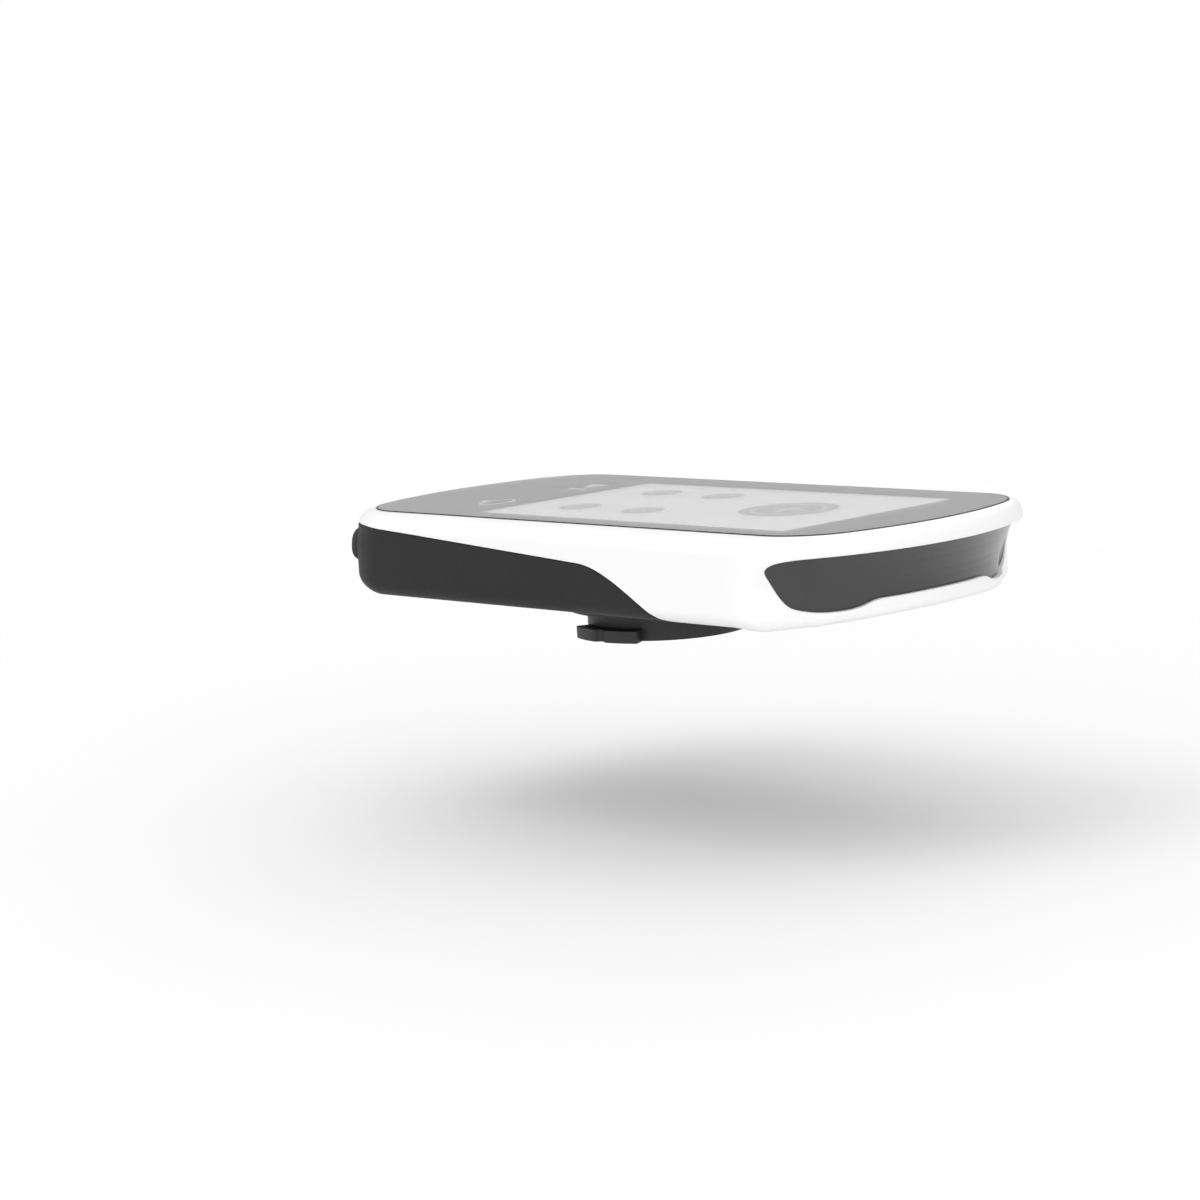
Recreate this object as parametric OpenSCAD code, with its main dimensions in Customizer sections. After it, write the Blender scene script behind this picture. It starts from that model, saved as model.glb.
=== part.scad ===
// Cycling computer with a touch display, for a quarter-turn handlebar mount.
// Millimetres. The origin is the centre of the quarter-turn boss's outer face,
// +Z points up out of the display, +Y is the riding direction and +X is the rider's right.

/* [Body] */
// Width across the rims
body_w = 58; // [58:0.2:60]
// Reach of the rider's end from the body's middle
rider_reach = 55.9; // [55.5:0.1:56.5]
// Reach of the front rim from the body's middle
front_reach = 55.5; // [55.2:0.1:56.2]
// Distance of the body's middle ahead of the boss's axis
mid_y = 4; // [3:0.5:5]
// Height of the glass above the boss's outer face
total_h = 20; // [20:0.1:21]
// Corner radius of the body seen from above
corner_r = 16; // [15:0.5:17]
// Radius of the arc across the rider's end
rider_arc_r = 50; // [48:1:60]
// Radius of the arc across the front
front_arc_r = 45; // [44:1:50]
// Wall thickness of the two casing shells
wall = 1.9; // [1.8:0.1:2]

/* [Rim and underside] */
// Height of the rounded shoulder outside the glass
shoulder_h = 2.6; // [2.4:0.1:2.8]
// Depth of the side walls below the glass
side_h = 12.8; // [12.6:0.1:13]
// Depth of the underside's crown below the glass, at the boss
crown_h = 15; // [14.8:0.1:15]
// Set-back of the lower lip behind the front rim
lip_back = 3.3; // [3:0.1:3.5]

/* [Front groove] */
// Depth of the groove's top edge below the glass
groove_top = 3.1; // [3:0.1:3.3]
// Depth of the groove's bottom edge below the glass
groove_bottom = 10.4; // [10:0.1:10.5]
// Set-back of the groove's inner wall behind the rim
groove_in = 4.6; // [4.4:0.1:4.7]
// Where the groove ends on each side, ahead of the body's middle
groove_end_y = 44.6; // [44:0.2:46]

/* [Glass and display] */
// Half width of the glass
glass_hw = 24.5; // [24.4:0.1:24.6]
// Reach of the glass each way from the body's middle
glass_reach = 52.9; // [52.8:0.1:53]
// Corner radius of the glass
glass_corner_r = 6.5; // [6:0.5:7]
// Radius of the arcs across the glass's ends
glass_arc_r = 55; // [50:1:60]
// Thickness of the glass
glass_t = 1.1; // [1:0.1:1.2]
// Width of the display's lit area
lit_w = 38.9; // [38:0.1:39.5]
// Length of the display's lit area
lit_l = 64.8; // [64:0.1:65.2]
// Middle of the lit area ahead of the body's middle
lit_mid_y = 5.85; // [5.5:0.05:6.2]

/* [Quarter-turn boss] */
// Radius of the boss's neck
neck_r = 12.7; // [12.6:0.05:12.8]
// Radius over the two locking tabs
tab_r = 15.2; // [15.1:0.05:15.3]
// Thickness of the locking tabs
tab_t = 1.9; // [1.8:0.1:2]
// Angle that each tab covers
tab_angle = 52; // [48:1:56]
// Height of the neck, from its outer face to the flange
neck_h = 4; // [4:0.1:4.2]
// Radius of the flange against the underside
flange_r = 15.6; // [15.4:0.1:16]

/* [Buttons and cap] */
// How far the buttons stand proud
key_proud = 0.7; // [0.5:0.1:0.8]
// Gap round each button
key_gap = 0.3; // [0.25:0.05:0.35]
// Length of the power button along the side
power_l = 14; // [12:0.5:15]
// Width of the weather cap
cap_w = 26; // [25:0.5:27]
// Length of the weather cap along the body
cap_l = 11; // [10.6:0.2:11.4]

/* [Hidden] */
$fn = 48;

body_hw = body_w / 2;
glass_margin = 0.2;      // gap between the glass and the rim, and the rim's thin top edge
slice = 0.01;            // thickness of the slices that the shells are hulled from
corner_steps = 6;
end_steps = 5;

panel_top_in = 1.2;      // set-back of the front panel's top edge behind the rim
panel_bottom_in = 3.3;   // set-back of its bottom edge

// Heights of the layers inside, as depths below the glass's top face
ledge_d = glass_t + 0.4;         // ledge that the adhesive sits on
deck_d = ledge_d + 1.4;          // underside of the bezel's deck
cell_top = glass_t + 0.25;
cell_t = 1.2;
guide_top = cell_top + cell_t + 0.05;
guide_t = 0.9;
tray_bottom = guide_top + guide_t + 0.25;
board_top = 5.8;
board_t = 0.8;
battery_top = 7;
battery_t = 4.2;
floor_d = 11.6;                  // top of the rear housing's floor
room_front = front_reach - 7.3;  // reach of the room inside the casing
room_rider = rider_reach - wall;
room_hw = body_hw - wall;

// Screw posts inside the bezel
post_x = body_hw - 5.6;
post_ys = [-34, 3, 31];
post_r = 1.7;
screw_r = 0.8;
screw_head_r = 1.35;

// Buttons at the rider's end: the band that each follows round its corner
key_top = 3;
key_bottom = 8.2;
key_turn = 22.5;                 // slant of the press direction from the length
key_from = 10;                   // the band's ends, in degrees from the rider's direction
key_to = 46;
key_back = wall + 0.45;          // how deep the button's bar reaches
flange_t = 0.4;                  // flange that keeps the button in
flange_over = 0.9;               // how far the flange reaches past the slot
press = 0.5;                     // travel of each button
press_x = 19;                    // where the plunger stands
frame_gap = 0.1;                 // gap between the wall and the buttons' frame seals
frame_t = 0.3;                   // thickness of those seals
power_y = -14;                   // middle of the power button
power_d = 8.4;                   // depth of the power button's middle
power_h = 4.4;

// Ports behind the weather cap
cap_y = -42.6;                   // middle of the cap
cap_top_d = 12.3;                // inner face of the cap
cap_lip = 0.6;                   // lip that plugs the pocket
pocket_w = 22;
pocket_l = 7.4;
pocket_d = 7.4;                  // ceiling of the pocket
usb_x = -5.2;
card_x = 4.6;

// Quarter circle of points, from angle a0 to a1
function arc(cx, cy, r, a0, a1, n) = [for (i = [0:n]) [cx + r * cos(a0 + (a1 - a0) * i / n),
                                                       cy + r * sin(a0 + (a1 - a0) * i / n)]];

// Height of the corner arc's centre where a corner of radius rc meets an end arc of radius re
function corner_y(hw, reach, re, rc) = reach - re + sqrt(pow(re - rc, 2) - pow(hw - rc, 2));
function corner_a(hw, reach, re, rc) = atan2(corner_y(hw, reach, re, rc) - reach + re, hw - rc);

// Right-hand half of one end: a round corner and then the arc across the end
function half_end(hw, reach, re, rc) =
  let (yc = corner_y(hw, reach, re, rc), a = corner_a(hw, reach, re, rc))
  concat(arc(hw - rc, yc, rc, 0, a, corner_steps),
         [for (i = [1:end_steps]) let (t = a + (90 - a) * i / end_steps)
          [re * cos(t), reach - re + re * sin(t)]]);

function flip_x(pts) = [for (i = [len(pts) - 1:-1:0]) [-pts[i][0], pts[i][1]]];
function flip_y(pts) = [for (i = [len(pts) - 1:-1:0]) [pts[i][0], -pts[i][1]]];
function without_last(pts) = [for (i = [0:len(pts) - 2]) pts[i]];

// Closed outline seen from above, about the body's middle
function outline(hw, front, rider, rc, front_re = front_arc_r, rider_re = rider_arc_r) =
  let (f = half_end(hw, front, front_re, rc), r = half_end(hw, rider, rider_re, rc))
  concat(f, flip_x(without_last(f)), flip_y(flip_x(r)), without_last(flip_y(r)));

// Body outline drawn in by a distance at the sides, the front and the rider's end
function body_ring(side, front, rider) =
  outline(body_hw - side, front_reach - front, rider_reach - rider, corner_r - side / 2);

// Outline of the room inside the shells, drawn in by a distance
function room_ring(in) =
  outline(room_hw - in, room_front - in, room_rider - in, corner_r - wall - in,
          front_arc_r - in, rider_arc_r - wall - in);

// Glass outline grown by a margin
function glass_ring(grow) =
  outline(glass_hw + grow, glass_reach + grow, glass_reach + grow, glass_corner_r + grow,
          glass_arc_r + grow, glass_arc_r + grow);

// Outline part of the way from the glass's edge out to the rim
function shoulder_ring(part) =
  let (inner = glass_ring(glass_margin), outer = body_ring(0, 0, 0))
  [for (i = [0:len(inner) - 1]) inner[i] + (outer[i] - inner[i]) * part];

// How far a rounded edge has drawn in at a depth
function fillet_in(d, start, height, reach) =
  d <= start ? 0 : reach * (1 - sqrt(max(0, 1 - pow((d - start) / height, 2))));

// Split line between the white and the black shell, seen from the side
function smooth(t) = let (u = min(1, max(0, t))) u * u * (3 - 2 * u);
function split_d(y) = 2 + 0.067 * max(0, y + 43.2) + 7.6 * smooth((y - 6.5) / 23.5);

// Moves to the body's middle at a depth below the glass
module below(d) {
  translate([0, mid_y, total_h - d])
    children();
}

// Upright prism between two depths below the glass
module slab(top, bottom) {
  below(bottom)
    linear_extrude(bottom - top)
      children();
}

module box_at(x, y, top, bottom, w, l) {
  slab(top, bottom)
    translate([x - w / 2, y - l / 2])
      square([w, l]);
}

module ring_slice(ring) {
  below(ring[0])
    linear_extrude(slice)
      polygon(ring[1]);
}

// Rings of the outer surface from the glass down, each a depth and an outline
shoulder_rings = [for (t = [0:18:90]) [slice + shoulder_h * (1 - cos(t)), shoulder_ring(sin(t))]];
skirt_rings = [for (d = [groove_top, 9.4, 10.8, 11.7, 12.3, 12.65, side_h])
  [d, body_ring(fillet_in(d, side_h - 2, 2, 2),
                d > groove_top ? lip_back + fillet_in(d, side_h - 1.5, 1.5, 1.5) : 0,
                fillet_in(d, side_h - 3.4, 3.4, 5.5))]];
rings = concat(shoulder_rings, skirt_rings);

// The whole outside of the body as one closed form
module body_form() {
  for (i = [0:len(rings) - 2])
    hull() {
      ring_slice(rings[i]);
      ring_slice(rings[i + 1]);
    }
  hull() {
    ring_slice(rings[len(rings) - 1]);
    translate([0, 0, total_h - crown_h])
      cylinder(r = flange_r + 0.9, h = slice, $fn = 32);
  }
}

// Side view of everything above the split line, drawn right across the body
module split_zone(gap) {
  ys = [for (y = [-60:3:33]) y];
  far = 70;
  rotate([90, 0, 90])
    linear_extrude(2 * far, center = true)
      translate([mid_y, total_h])
        polygon(concat([for (y = ys) [y, gap - split_d(y)]],
                       [[33, -far], [far, -far], [far, 9], [-60, 9]]));
}

// The floor that the rear housing carries inside the white skirt
module floor_zone(gap) {
  slab(floor_d - gap, total_h)
    polygon(body_ring(3.6 - gap, lip_back + 3.6 - gap, -9));
}

// Room inside both shells
module room(top, bottom) {
  slab(top, bottom)
    polygon(room_ring(0));
}

// The lit area grown by a margin on every side
module lit_outline(grow) {
  translate([-lit_w / 2 - grow, lit_mid_y - lit_l / 2 - grow])
    square([lit_w + 2 * grow, lit_l + 2 * grow]);
}

// Cuts the groove round the front between the rim and the lower lip
module front_groove() {
  difference() {
    slab(groove_top, groove_bottom)
      translate([-40, groove_end_y])
        square([80, 20]);
    slab(groove_top - 1, groove_bottom + 1)
      polygon(outline(body_hw - groove_in, front_reach - groove_in, rider_reach, corner_r - groove_in));
  }
}

module at_posts() {
  for (x = [-post_x, post_x], y = post_ys)
    translate([x, mid_y + y, 0])
      children();
}

// Curved band round one rear corner, in plan: out and in are offsets from the body's surface
module corner_band(out, in, a0, a1) {
  yc = corner_y(body_hw, rider_reach, rider_arc_r, corner_r);
  a = 90 - corner_a(body_hw, rider_reach, rider_arc_r, corner_r);
  centre_y = rider_arc_r - rider_reach;
  function edge(off) = concat(
    [for (i = [0:4]) let (t = a0 + (a - a0) * i / 4)
     [(rider_arc_r + off) * sin(t), centre_y - (rider_arc_r + off) * cos(t)]],
    [for (i = [1:5]) let (t = a + (a1 - a) * i / 5)
     [body_hw - corner_r + (corner_r + off) * sin(t), -yc - (corner_r + off) * cos(t)]]);
  inner = edge(-in);
  polygon(concat(edge(out), [for (i = [len(inner) - 1:-1:0]) inner[i]]));
}

// Puts things at the end button's plunger, with +Y along the press direction
module at_press(side) {
  y = rider_arc_r - rider_reach - rider_arc_r * cos(key_turn);
  translate([side * press_x, mid_y + y, total_h - (key_top + key_bottom) / 2])
    rotate([0, 0, side * key_turn])
      children();
}

module at_power() {
  translate([-body_hw, mid_y + power_y, total_h - power_d])
    rotate([0, 0, -90])
      children();
}

// Button at the rider's end: a bar that bulges in two steps, its flange and its plunger
module end_key(side) {
  mirror([side > 0 ? 0 : 1, 0, 0]) {
    for (s = [[0, 0.45], [0.9, 1]])
      slab(key_top + s[0], key_bottom - s[0])
        corner_band(key_proud * s[1], key_back + 0.1, key_from, key_to);
    slab(key_top + 0.05, key_bottom + flange_over)
      corner_band(-key_back, key_back + flange_t, key_from - 1.2, key_to + 3);
    at_press(1)
      plunger();
  }
}

module plunger() {
  rotate([-90, 0, 0])
    translate([0, 0, key_back + 0.1])
      cylinder(r = 1.2, h = flange_t + 0.15);
}

module end_key_slot(side) {
  mirror([side > 0 ? 0 : 1, 0, 0])
    slab(key_top - key_gap, key_bottom + key_gap)
      corner_band(3, wall + 1, key_from - 0.4, key_to + 1.6);
}

module front_bezel() {
  color("whitesmoke")
    difference() {
      union() {
        difference() {
          intersection() {
            body_form();
            split_zone(0);
          }
          floor_zone(0.1);
          room(deck_d, floor_d);
        }
        slab(ledge_d - 0.2, deck_d)
          polygon(room_ring(0.1));
        at_posts()
          translate([0, 0, total_h - floor_d + 2.2])
            cylinder(r = post_r, h = floor_d - 2.2 - deck_d + 0.4);
      }
      slab(-1, ledge_d)
        polygon(glass_ring(glass_margin / 2));
      slab(ledge_d - 0.1, deck_d + 0.1)
        lit_outline(2.2);
      box_at(0, lit_mid_y - lit_l / 2 - 3.6, ledge_d - 0.1, deck_d + 0.1, lit_w, 3.4);
      translate([8, mid_y + 45.4, total_h - deck_d - 0.1])
        cylinder(r = 1.1, h = 3);
      front_groove();
      at_posts()
        cylinder(r = screw_r + 0.02, h = total_h - board_top);
    }
}

module rear_housing() {
  color("dimgray")
    difference() {
      union() {
        difference() {
          body_form();
          split_zone(-0.1);
          room(0, floor_d);
        }
        intersection() {
          body_form();
          floor_zone(0);
        }
        box_at(0, cap_y, pocket_d - 1, cap_top_d, pocket_w + 2.4, pocket_l + 2.4);
      }
      box_at(0, cap_y, pocket_d, total_h, pocket_w, pocket_l);
      slab(cap_top_d, total_h)
        cap_outline(0.3);
      box_at(0, cap_y + cap_l / 2 + 1.5, cap_top_d, total_h, 20.6, 3.6);
      box_at(usb_x, cap_y, pocket_d - 2, pocket_d + 1, 8, 3.2);
      box_at(card_x, cap_y + pocket_l / 2 + 1, 8.5, 10.7, 12.4, 5);
      at_posts() {
        translate([0, 0, -1])
          cylinder(r = screw_r + 0.2, h = total_h);
        translate([0, 0, -1])
          cylinder(r = screw_head_r + 0.15, h = total_h - floor_d - 0.2 + 0.4);
      }
      for (s = [-1, 1])
        end_key_slot(s);
      at_power()
        cube([power_l + 2 * key_gap, 2 * wall + 2, power_h + 2 * key_gap], center = true);
      for (a = [45:90:315])
        translate([8.6 * cos(a), 8.6 * sin(a), 0])
          cylinder(r = 0.75, h = total_h - floor_d - 1);
      translate([14, mid_y - 28, 0])
        cylinder(r = 0.6, h = total_h);
    }
}

// Sheet of the front panel's plan, drawn in by one distance at its top and another at its bottom
module panel_form(top_in, bottom_in) {
  hull()
    for (e = [[groove_top + 0.05, top_in], [groove_bottom - 0.05, bottom_in]])
      ring_slice([e[0], outline(body_hw - e[1], front_reach - e[1], rider_reach, corner_r - e[1])]);
}

// Dark gloss panel that lines the groove and leans in from top to bottom
module front_panel() {
  thickness = 1.2;
  color("dimgray")
    intersection() {
      difference() {
        panel_form(panel_top_in, panel_bottom_in);
        panel_form(panel_top_in + thickness, panel_bottom_in + thickness);
      }
      slab(groove_top + 0.05 - slice, groove_bottom - 0.05)
        translate([-40, groove_end_y + 0.1])
          square([80, 20]);
    }
}

module touch_glass() {
  color([0.35, 0.35, 0.37])
    slab(0, glass_t)
      polygon(glass_ring(0));
}

module glass_adhesive() {
  color("black")
    difference() {
      slab(glass_t, ledge_d)
        polygon(glass_ring(-0.3));
      slab(glass_t - 0.1, ledge_d + 0.1)
        lit_outline(2.2);
    }
}

module touch_sensor() {
  color("lightsteelblue")
    slab(glass_t, cell_top)
      lit_outline(1.6);
}

module display_cell() {
  color("gainsboro")
    slab(cell_top, cell_top + cell_t)
      lit_outline(1.8);
}

module light_guide() {
  color("white")
    slab(guide_top, guide_top + guide_t)
      lit_outline(1.4);
}

module light_strip() {
  led_pitch = 4.2;
  y = lit_mid_y - lit_l / 2 - 2.4;
  color("lightyellow") {
    box_at(0, y, guide_top + 0.1, guide_top + 0.3, lit_w - 2, 1.2);
    for (i = [-4:4])
      box_at(i * led_pitch, y, guide_top + 0.3, guide_top + 0.9, 2.2, 0.9);
  }
}

module display_tray() {
  color("silver")
    difference() {
      slab(cell_top + 0.4, tray_bottom)
        lit_outline(2.15);
      slab(cell_top, guide_top + guide_t + 0.02)
        lit_outline(1.9);
      box_at(0, lit_mid_y - lit_l / 2 - 2, cell_top, guide_top + guide_t + 0.02, lit_w, 3.2);
    }
}

module display_flex() {
  y = lit_mid_y - lit_l / 2 - 3.6;
  color("darkorange") {
    box_at(8, y + 0.4, cell_top + 0.2, cell_top + 0.4, 14, 2.6);
    box_at(8, y - 0.8, cell_top + 0.2, board_top, 14, 0.2);
    box_at(8, y - 0.1, board_top - 0.2, board_top, 14, 1.6);
  }
}

module main_board() {
  color("darkgreen")
    difference() {
      slab(board_top, board_top + board_t) {
        translate([-21.4, -36])
          square([42.8, 74]);
        translate([-9.2, 37])
          square([18.4, 10]);
      }
      for (x = [-19, 19], y = [-20, 20])
        translate([x, mid_y + y, 0])
          cylinder(r = 0.8, h = total_h);
    }
}

module shield_cans() {
  can_h = 1.6;
  color("silver")
    for (c = [[-10, 18, 18, 22], [10, 16, 16, 16], [-9, -14, 20, 16]])
      box_at(c[0], c[1], board_top - can_h, board_top, c[2], c[3]);
}

module board_chips() {
  color([0.15, 0.15, 0.16])
    for (c = [[10, 0, 9, 9], [12, -14, 7, 10], [-14, 2, 6, 5], [-4, 3, 4, 4], [4, 30, 6, 5], [-12, 33, 5, 4]])
      box_at(c[0], c[1], board_top - 1, board_top, c[2], c[3]);
}

module patch_antenna() {
  color("tan")
    box_at(0, 41.5, board_top - 1.9, board_top, 12, 12);
  color("silver")
    box_at(0, 41.5, board_top - 1.95, board_top - 1.9, 9, 9);
}

module radio_antenna() {
  color("darkorange")
    box_at(room_hw - 1.1, 17, 5.6, 9.6, 0.3, 18);
}

module battery_cell() {
  color("silver")
    slab(battery_top, battery_top + battery_t)
      translate([-19, -22])
        square([38, 52]);
}

module battery_pad() {
  color("black")
    slab(battery_top + battery_t, floor_d)
      translate([-17, -18])
        square([34, 44]);
}

module battery_lead() {
  color("firebrick")
    for (x = [-1.1, 0, 1.1])
      translate([-12 + x, mid_y - 22.02, total_h - 9])
        rotate([90, 0, 0])
          cylinder(r = 0.5, h = 6);
  color("white")
    box_at(-12, -28.4, board_top + board_t, 10, 5, 3);
}

module beeper() {
  color("black")
    translate([17, mid_y - 29.5, total_h - board_top - board_t - 1.9])
      cylinder(r = 4, h = 1.9);
}

module pressure_sensor() {
  color("silver")
    box_at(-2, -30, board_top + board_t, board_top + board_t + 0.9, 2.5, 2);
}

module vent_membrane() {
  color("white")
    translate([14, mid_y - 28, total_h - floor_d])
      cylinder(r = 2.2, h = 0.2);
}

module light_sensor() {
  color("black")
    box_at(8, 45.4, board_top - 0.6, board_top, 1.8, 1.6);
}

// Socket shell with its tongue, mouth down into the pocket
module usb_receptacle() {
  color("silver")
    difference() {
      box_at(usb_x, cap_y, 3, pocket_d, 7.5, 2.8);
      box_at(usb_x, cap_y, 3.6, pocket_d + 0.1, 6.9, 1.9);
    }
  color("black")
    box_at(usb_x, cap_y + 0.35, 3.5, pocket_d - 0.5, 5.4, 0.6);
}

// Card holder, mouth towards the rider, in the pocket's front wall
module card_socket() {
  y = cap_y + pocket_l / 2;
  color("silver")
    difference() {
      box_at(card_x, y + 6.2, 8.7, 10.5, 12, 12);
      box_at(card_x, y + 5, 9.1, 10.1, 11.2, 12);
    }
}

module port_board() {
  color("darkgreen")
    box_at(-1, cap_y + 1.9, 3.1, pocket_d - 1.1, 20, 0.8);
}

module cap_outline(grow) {
  r = 2.4;
  union() {
    translate([-cap_w / 2 - grow, cap_y - cap_l / 2 + r])
      square([cap_w + 2 * grow, cap_l - r + grow * 0.2]);
    translate([-cap_w / 2 + r, cap_y - cap_l / 2 - grow])
      square([cap_w - 2 * r, r + grow + 1]);
    for (s = [-1, 1])
      translate([s * (cap_w / 2 - r), cap_y - cap_l / 2 + r])
        circle(r = r + grow);
  }
}

// Soft flap over the ports with the raised lip that plugs the pocket
module weather_cap() {
  color([0.2, 0.2, 0.21]) {
    intersection() {
      body_form();
      slab(cap_top_d + 0.05, total_h)
        cap_outline(0);
    }
    difference() {
      box_at(0, cap_y, cap_top_d - cap_lip, cap_top_d + 0.2, pocket_w - 0.8, pocket_l - 0.8);
      box_at(0, cap_y, cap_top_d - 1, cap_top_d + 0.05, pocket_w - 2.4, pocket_l - 2.4);
    }
  }
}

// Fixed strip that holds the flap's soft web
module cap_anchor() {
  y = cap_y + cap_l / 2 + 1.6;
  color([0.2, 0.2, 0.21])
    intersection() {
      body_form();
      box_at(0, y, cap_top_d + 0.05, total_h, 20, 2.6);
    }
}

// Soft cord pressed against the inside of the split between the shells
module casing_seal() {
  thick = 0.7;
  tall = 1.2;
  ys = [for (y = [-57:3:30]) y];
  low = floor_d - tall / 2 - 0.1;
  function seal_d(y) = min(low, max(deck_d + tall / 2 + 0.1, split_d(y)));
  color("darkgray")
    intersection() {
      difference() {
        slab(0, total_h)
          polygon(room_ring(0.02));
        slab(-1, total_h + 1)
          polygon(room_ring(thick));
        for (side = [0, 1])
          mirror([side, 0, 0])
            slab(0, total_h)
              corner_band(0, 6, key_from - 2.4, key_to + 6);
      }
      rotate([90, 0, 90])
        linear_extrude(100, center = true)
          translate([mid_y, total_h])
            polygon(concat([for (y = ys) [y, tall / 2 - seal_d(y)]], [[60, tall / 2 - low], [60, -tall / 2 - low]],
                           [for (i = [len(ys) - 1:-1:0]) [ys[i], -tall / 2 - seal_d(ys[i])]]));
    }
}

module casing_screws() {
  seat = total_h - floor_d - 0.2 + 0.4 - 1;
  color("silver")
    at_posts()
      difference() {
        union() {
          translate([0, 0, seat - 0.9])
            cylinder(r = screw_head_r, h = 0.9);
          translate([0, 0, seat - 0.1])
            cylinder(r = screw_r, h = 4.6);
        }
        translate([0, 0, seat - 1])
          cylinder(r = 0.65, h = 0.6, $fn = 6);
      }
}

// Flange, neck and the two tabs that lock under the lips of a mount
module quarter_turn_boss() {
  color([0.13, 0.13, 0.14])
    difference() {
      union() {
        translate([0, 0, neck_h])
          cylinder(r = flange_r, h = total_h - crown_h - neck_h);
        cylinder(r = neck_r, h = neck_h);
        for (a = [0, 180])
          rotate([0, 0, a - tab_angle / 2])
            rotate_extrude(angle = tab_angle)
              translate([neck_r - 1, 0])
                square([tab_r - neck_r + 1, tab_t]);
      }
      for (a = [45:90:315])
        translate([8.6 * cos(a), 8.6 * sin(a), 0]) {
          translate([0, 0, -1])
            cylinder(r = 1, h = 8);
          translate([0, 0, -1])
            cylinder(r = 2.1, h = 2.8);
        }
      for (a = [0, 180])
        rotate([0, 0, a])
          translate([tab_r + 0.5, 0, -0.1])
            cylinder(r = 1.1, h = tab_t + 0.2);
    }
}

module boss_screws() {
  color("silver")
    for (a = [45:90:315])
      translate([8.6 * cos(a), 8.6 * sin(a), 0])
        difference() {
          union() {
            translate([0, 0, 0.4])
              cylinder(r = 1.9, h = 1.4);
            translate([0, 0, 1.7])
              cylinder(r = 0.75, h = 5);
          }
          translate([0, 0, 0])
            cylinder(r = 0.9, h = 1.1, $fn = 6);
        }
}

module power_button() {
  color([0.16, 0.16, 0.17])
    at_power() {
      for (s = [[0, 0.45], [1.6, 1]]) {
        proud = key_proud * s[1];
        translate([0, (key_back - proud) / 2, 0])
          cube([power_l - s[0], key_back + proud, power_h - s[0]], center = true);
      }
      translate([0, key_back + flange_t / 2, 0])
        cube([power_l + 2 * flange_over, flange_t, power_h + 2 * flange_over], center = true);
      plunger();
    }
}

module lap_button() {
  color([0.16, 0.16, 0.17])
    end_key(-1);
}

module start_stop_button() {
  color([0.16, 0.16, 0.17])
    end_key(1);
}

// Things that repeat behind each of the three buttons
module behind_buttons() {
  for (s = [-1, 1])
    at_press(s)
      children();
  at_power()
    children();
}

// Soft frames between the casing's inner wall and the buttons' flanges
module button_seals() {
  color("black") {
    for (side = [0, 1])
      mirror([side, 0, 0])
        difference() {
          slab(key_top + 0.05, key_bottom + flange_over)
            corner_band(-wall - frame_gap, wall + frame_gap + frame_t, key_from - 1.2, key_to + 3);
          slab(key_top - key_gap, key_bottom + key_gap)
            corner_band(0, 4, key_from - 0.4, key_to + 1.6);
        }
    at_power()
      translate([0, wall + frame_gap + frame_t / 2, 0])
        difference() {
          cube([power_l + 2 * flange_over, frame_t, power_h + 2 * flange_over], center = true);
          cube([power_l + 2 * key_gap, 2, power_h + 2 * key_gap], center = true);
        }
  }
}

module dome_switches() {
  color("goldenrod")
    behind_buttons()
      rotate([-90, 0, 0]) {
        translate([0, 0, 3.5])
          cylinder(r = 1, h = 0.3);
        translate([0, 0, 4.05])
          cube([3.4, 2.6, 0.6], center = true);
      }
}

module switch_boards() {
  color("darkgreen")
    behind_buttons()
      translate([0, 4.65, 0])
        cube([8, 0.6, 4.2], center = true);
}

front_bezel();
rear_housing();
front_panel();
touch_glass();
glass_adhesive();
touch_sensor();
display_cell();
light_guide();
light_strip();
display_tray();
display_flex();
main_board();
shield_cans();
board_chips();
patch_antenna();
radio_antenna();
battery_cell();
battery_pad();
battery_lead();
beeper();
pressure_sensor();
vent_membrane();
light_sensor();
usb_receptacle();
card_socket();
port_board();
weather_cap();
cap_anchor();
casing_seal();
casing_screws();
quarter_turn_boss();
boss_screws();
power_button();
lap_button();
start_stop_button();
button_seals();
dome_switches();
switch_boards();
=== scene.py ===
"""Cycling computer with a touch display: its looks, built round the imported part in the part's own frame.

Sizes in the classes are millimetres about the middle of the body, with depths measured down from the
glass. Meshes are written in metres, in the frame of the part.
"""

import logging
import math
from dataclasses import dataclass
from enum import Enum
from typing import Callable, Iterable, Sequence

import bmesh
import bpy
import numpy as np
from mathutils import Matrix, Vector
from mathutils.bvhtree import BVHTree


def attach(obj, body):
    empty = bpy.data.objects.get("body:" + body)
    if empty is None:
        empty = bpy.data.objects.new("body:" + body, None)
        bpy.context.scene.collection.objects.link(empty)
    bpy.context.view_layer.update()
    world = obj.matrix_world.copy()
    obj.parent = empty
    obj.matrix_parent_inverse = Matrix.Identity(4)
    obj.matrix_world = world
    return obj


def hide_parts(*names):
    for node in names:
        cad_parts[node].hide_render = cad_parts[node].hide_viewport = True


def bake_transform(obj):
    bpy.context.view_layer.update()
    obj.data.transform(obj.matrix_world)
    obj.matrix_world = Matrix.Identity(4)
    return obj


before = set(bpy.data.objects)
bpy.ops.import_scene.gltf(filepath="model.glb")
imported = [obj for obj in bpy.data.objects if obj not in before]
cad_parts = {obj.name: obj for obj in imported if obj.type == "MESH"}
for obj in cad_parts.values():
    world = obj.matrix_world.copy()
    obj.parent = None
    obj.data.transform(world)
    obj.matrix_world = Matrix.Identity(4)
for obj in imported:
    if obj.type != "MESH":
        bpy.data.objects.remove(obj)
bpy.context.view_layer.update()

LOG = logging.getLogger("cycling_computer")
MM = 0.001
MID_Y = 4.0
GLASS_Z = 20.0
OUTSIDE = -9.0


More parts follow.
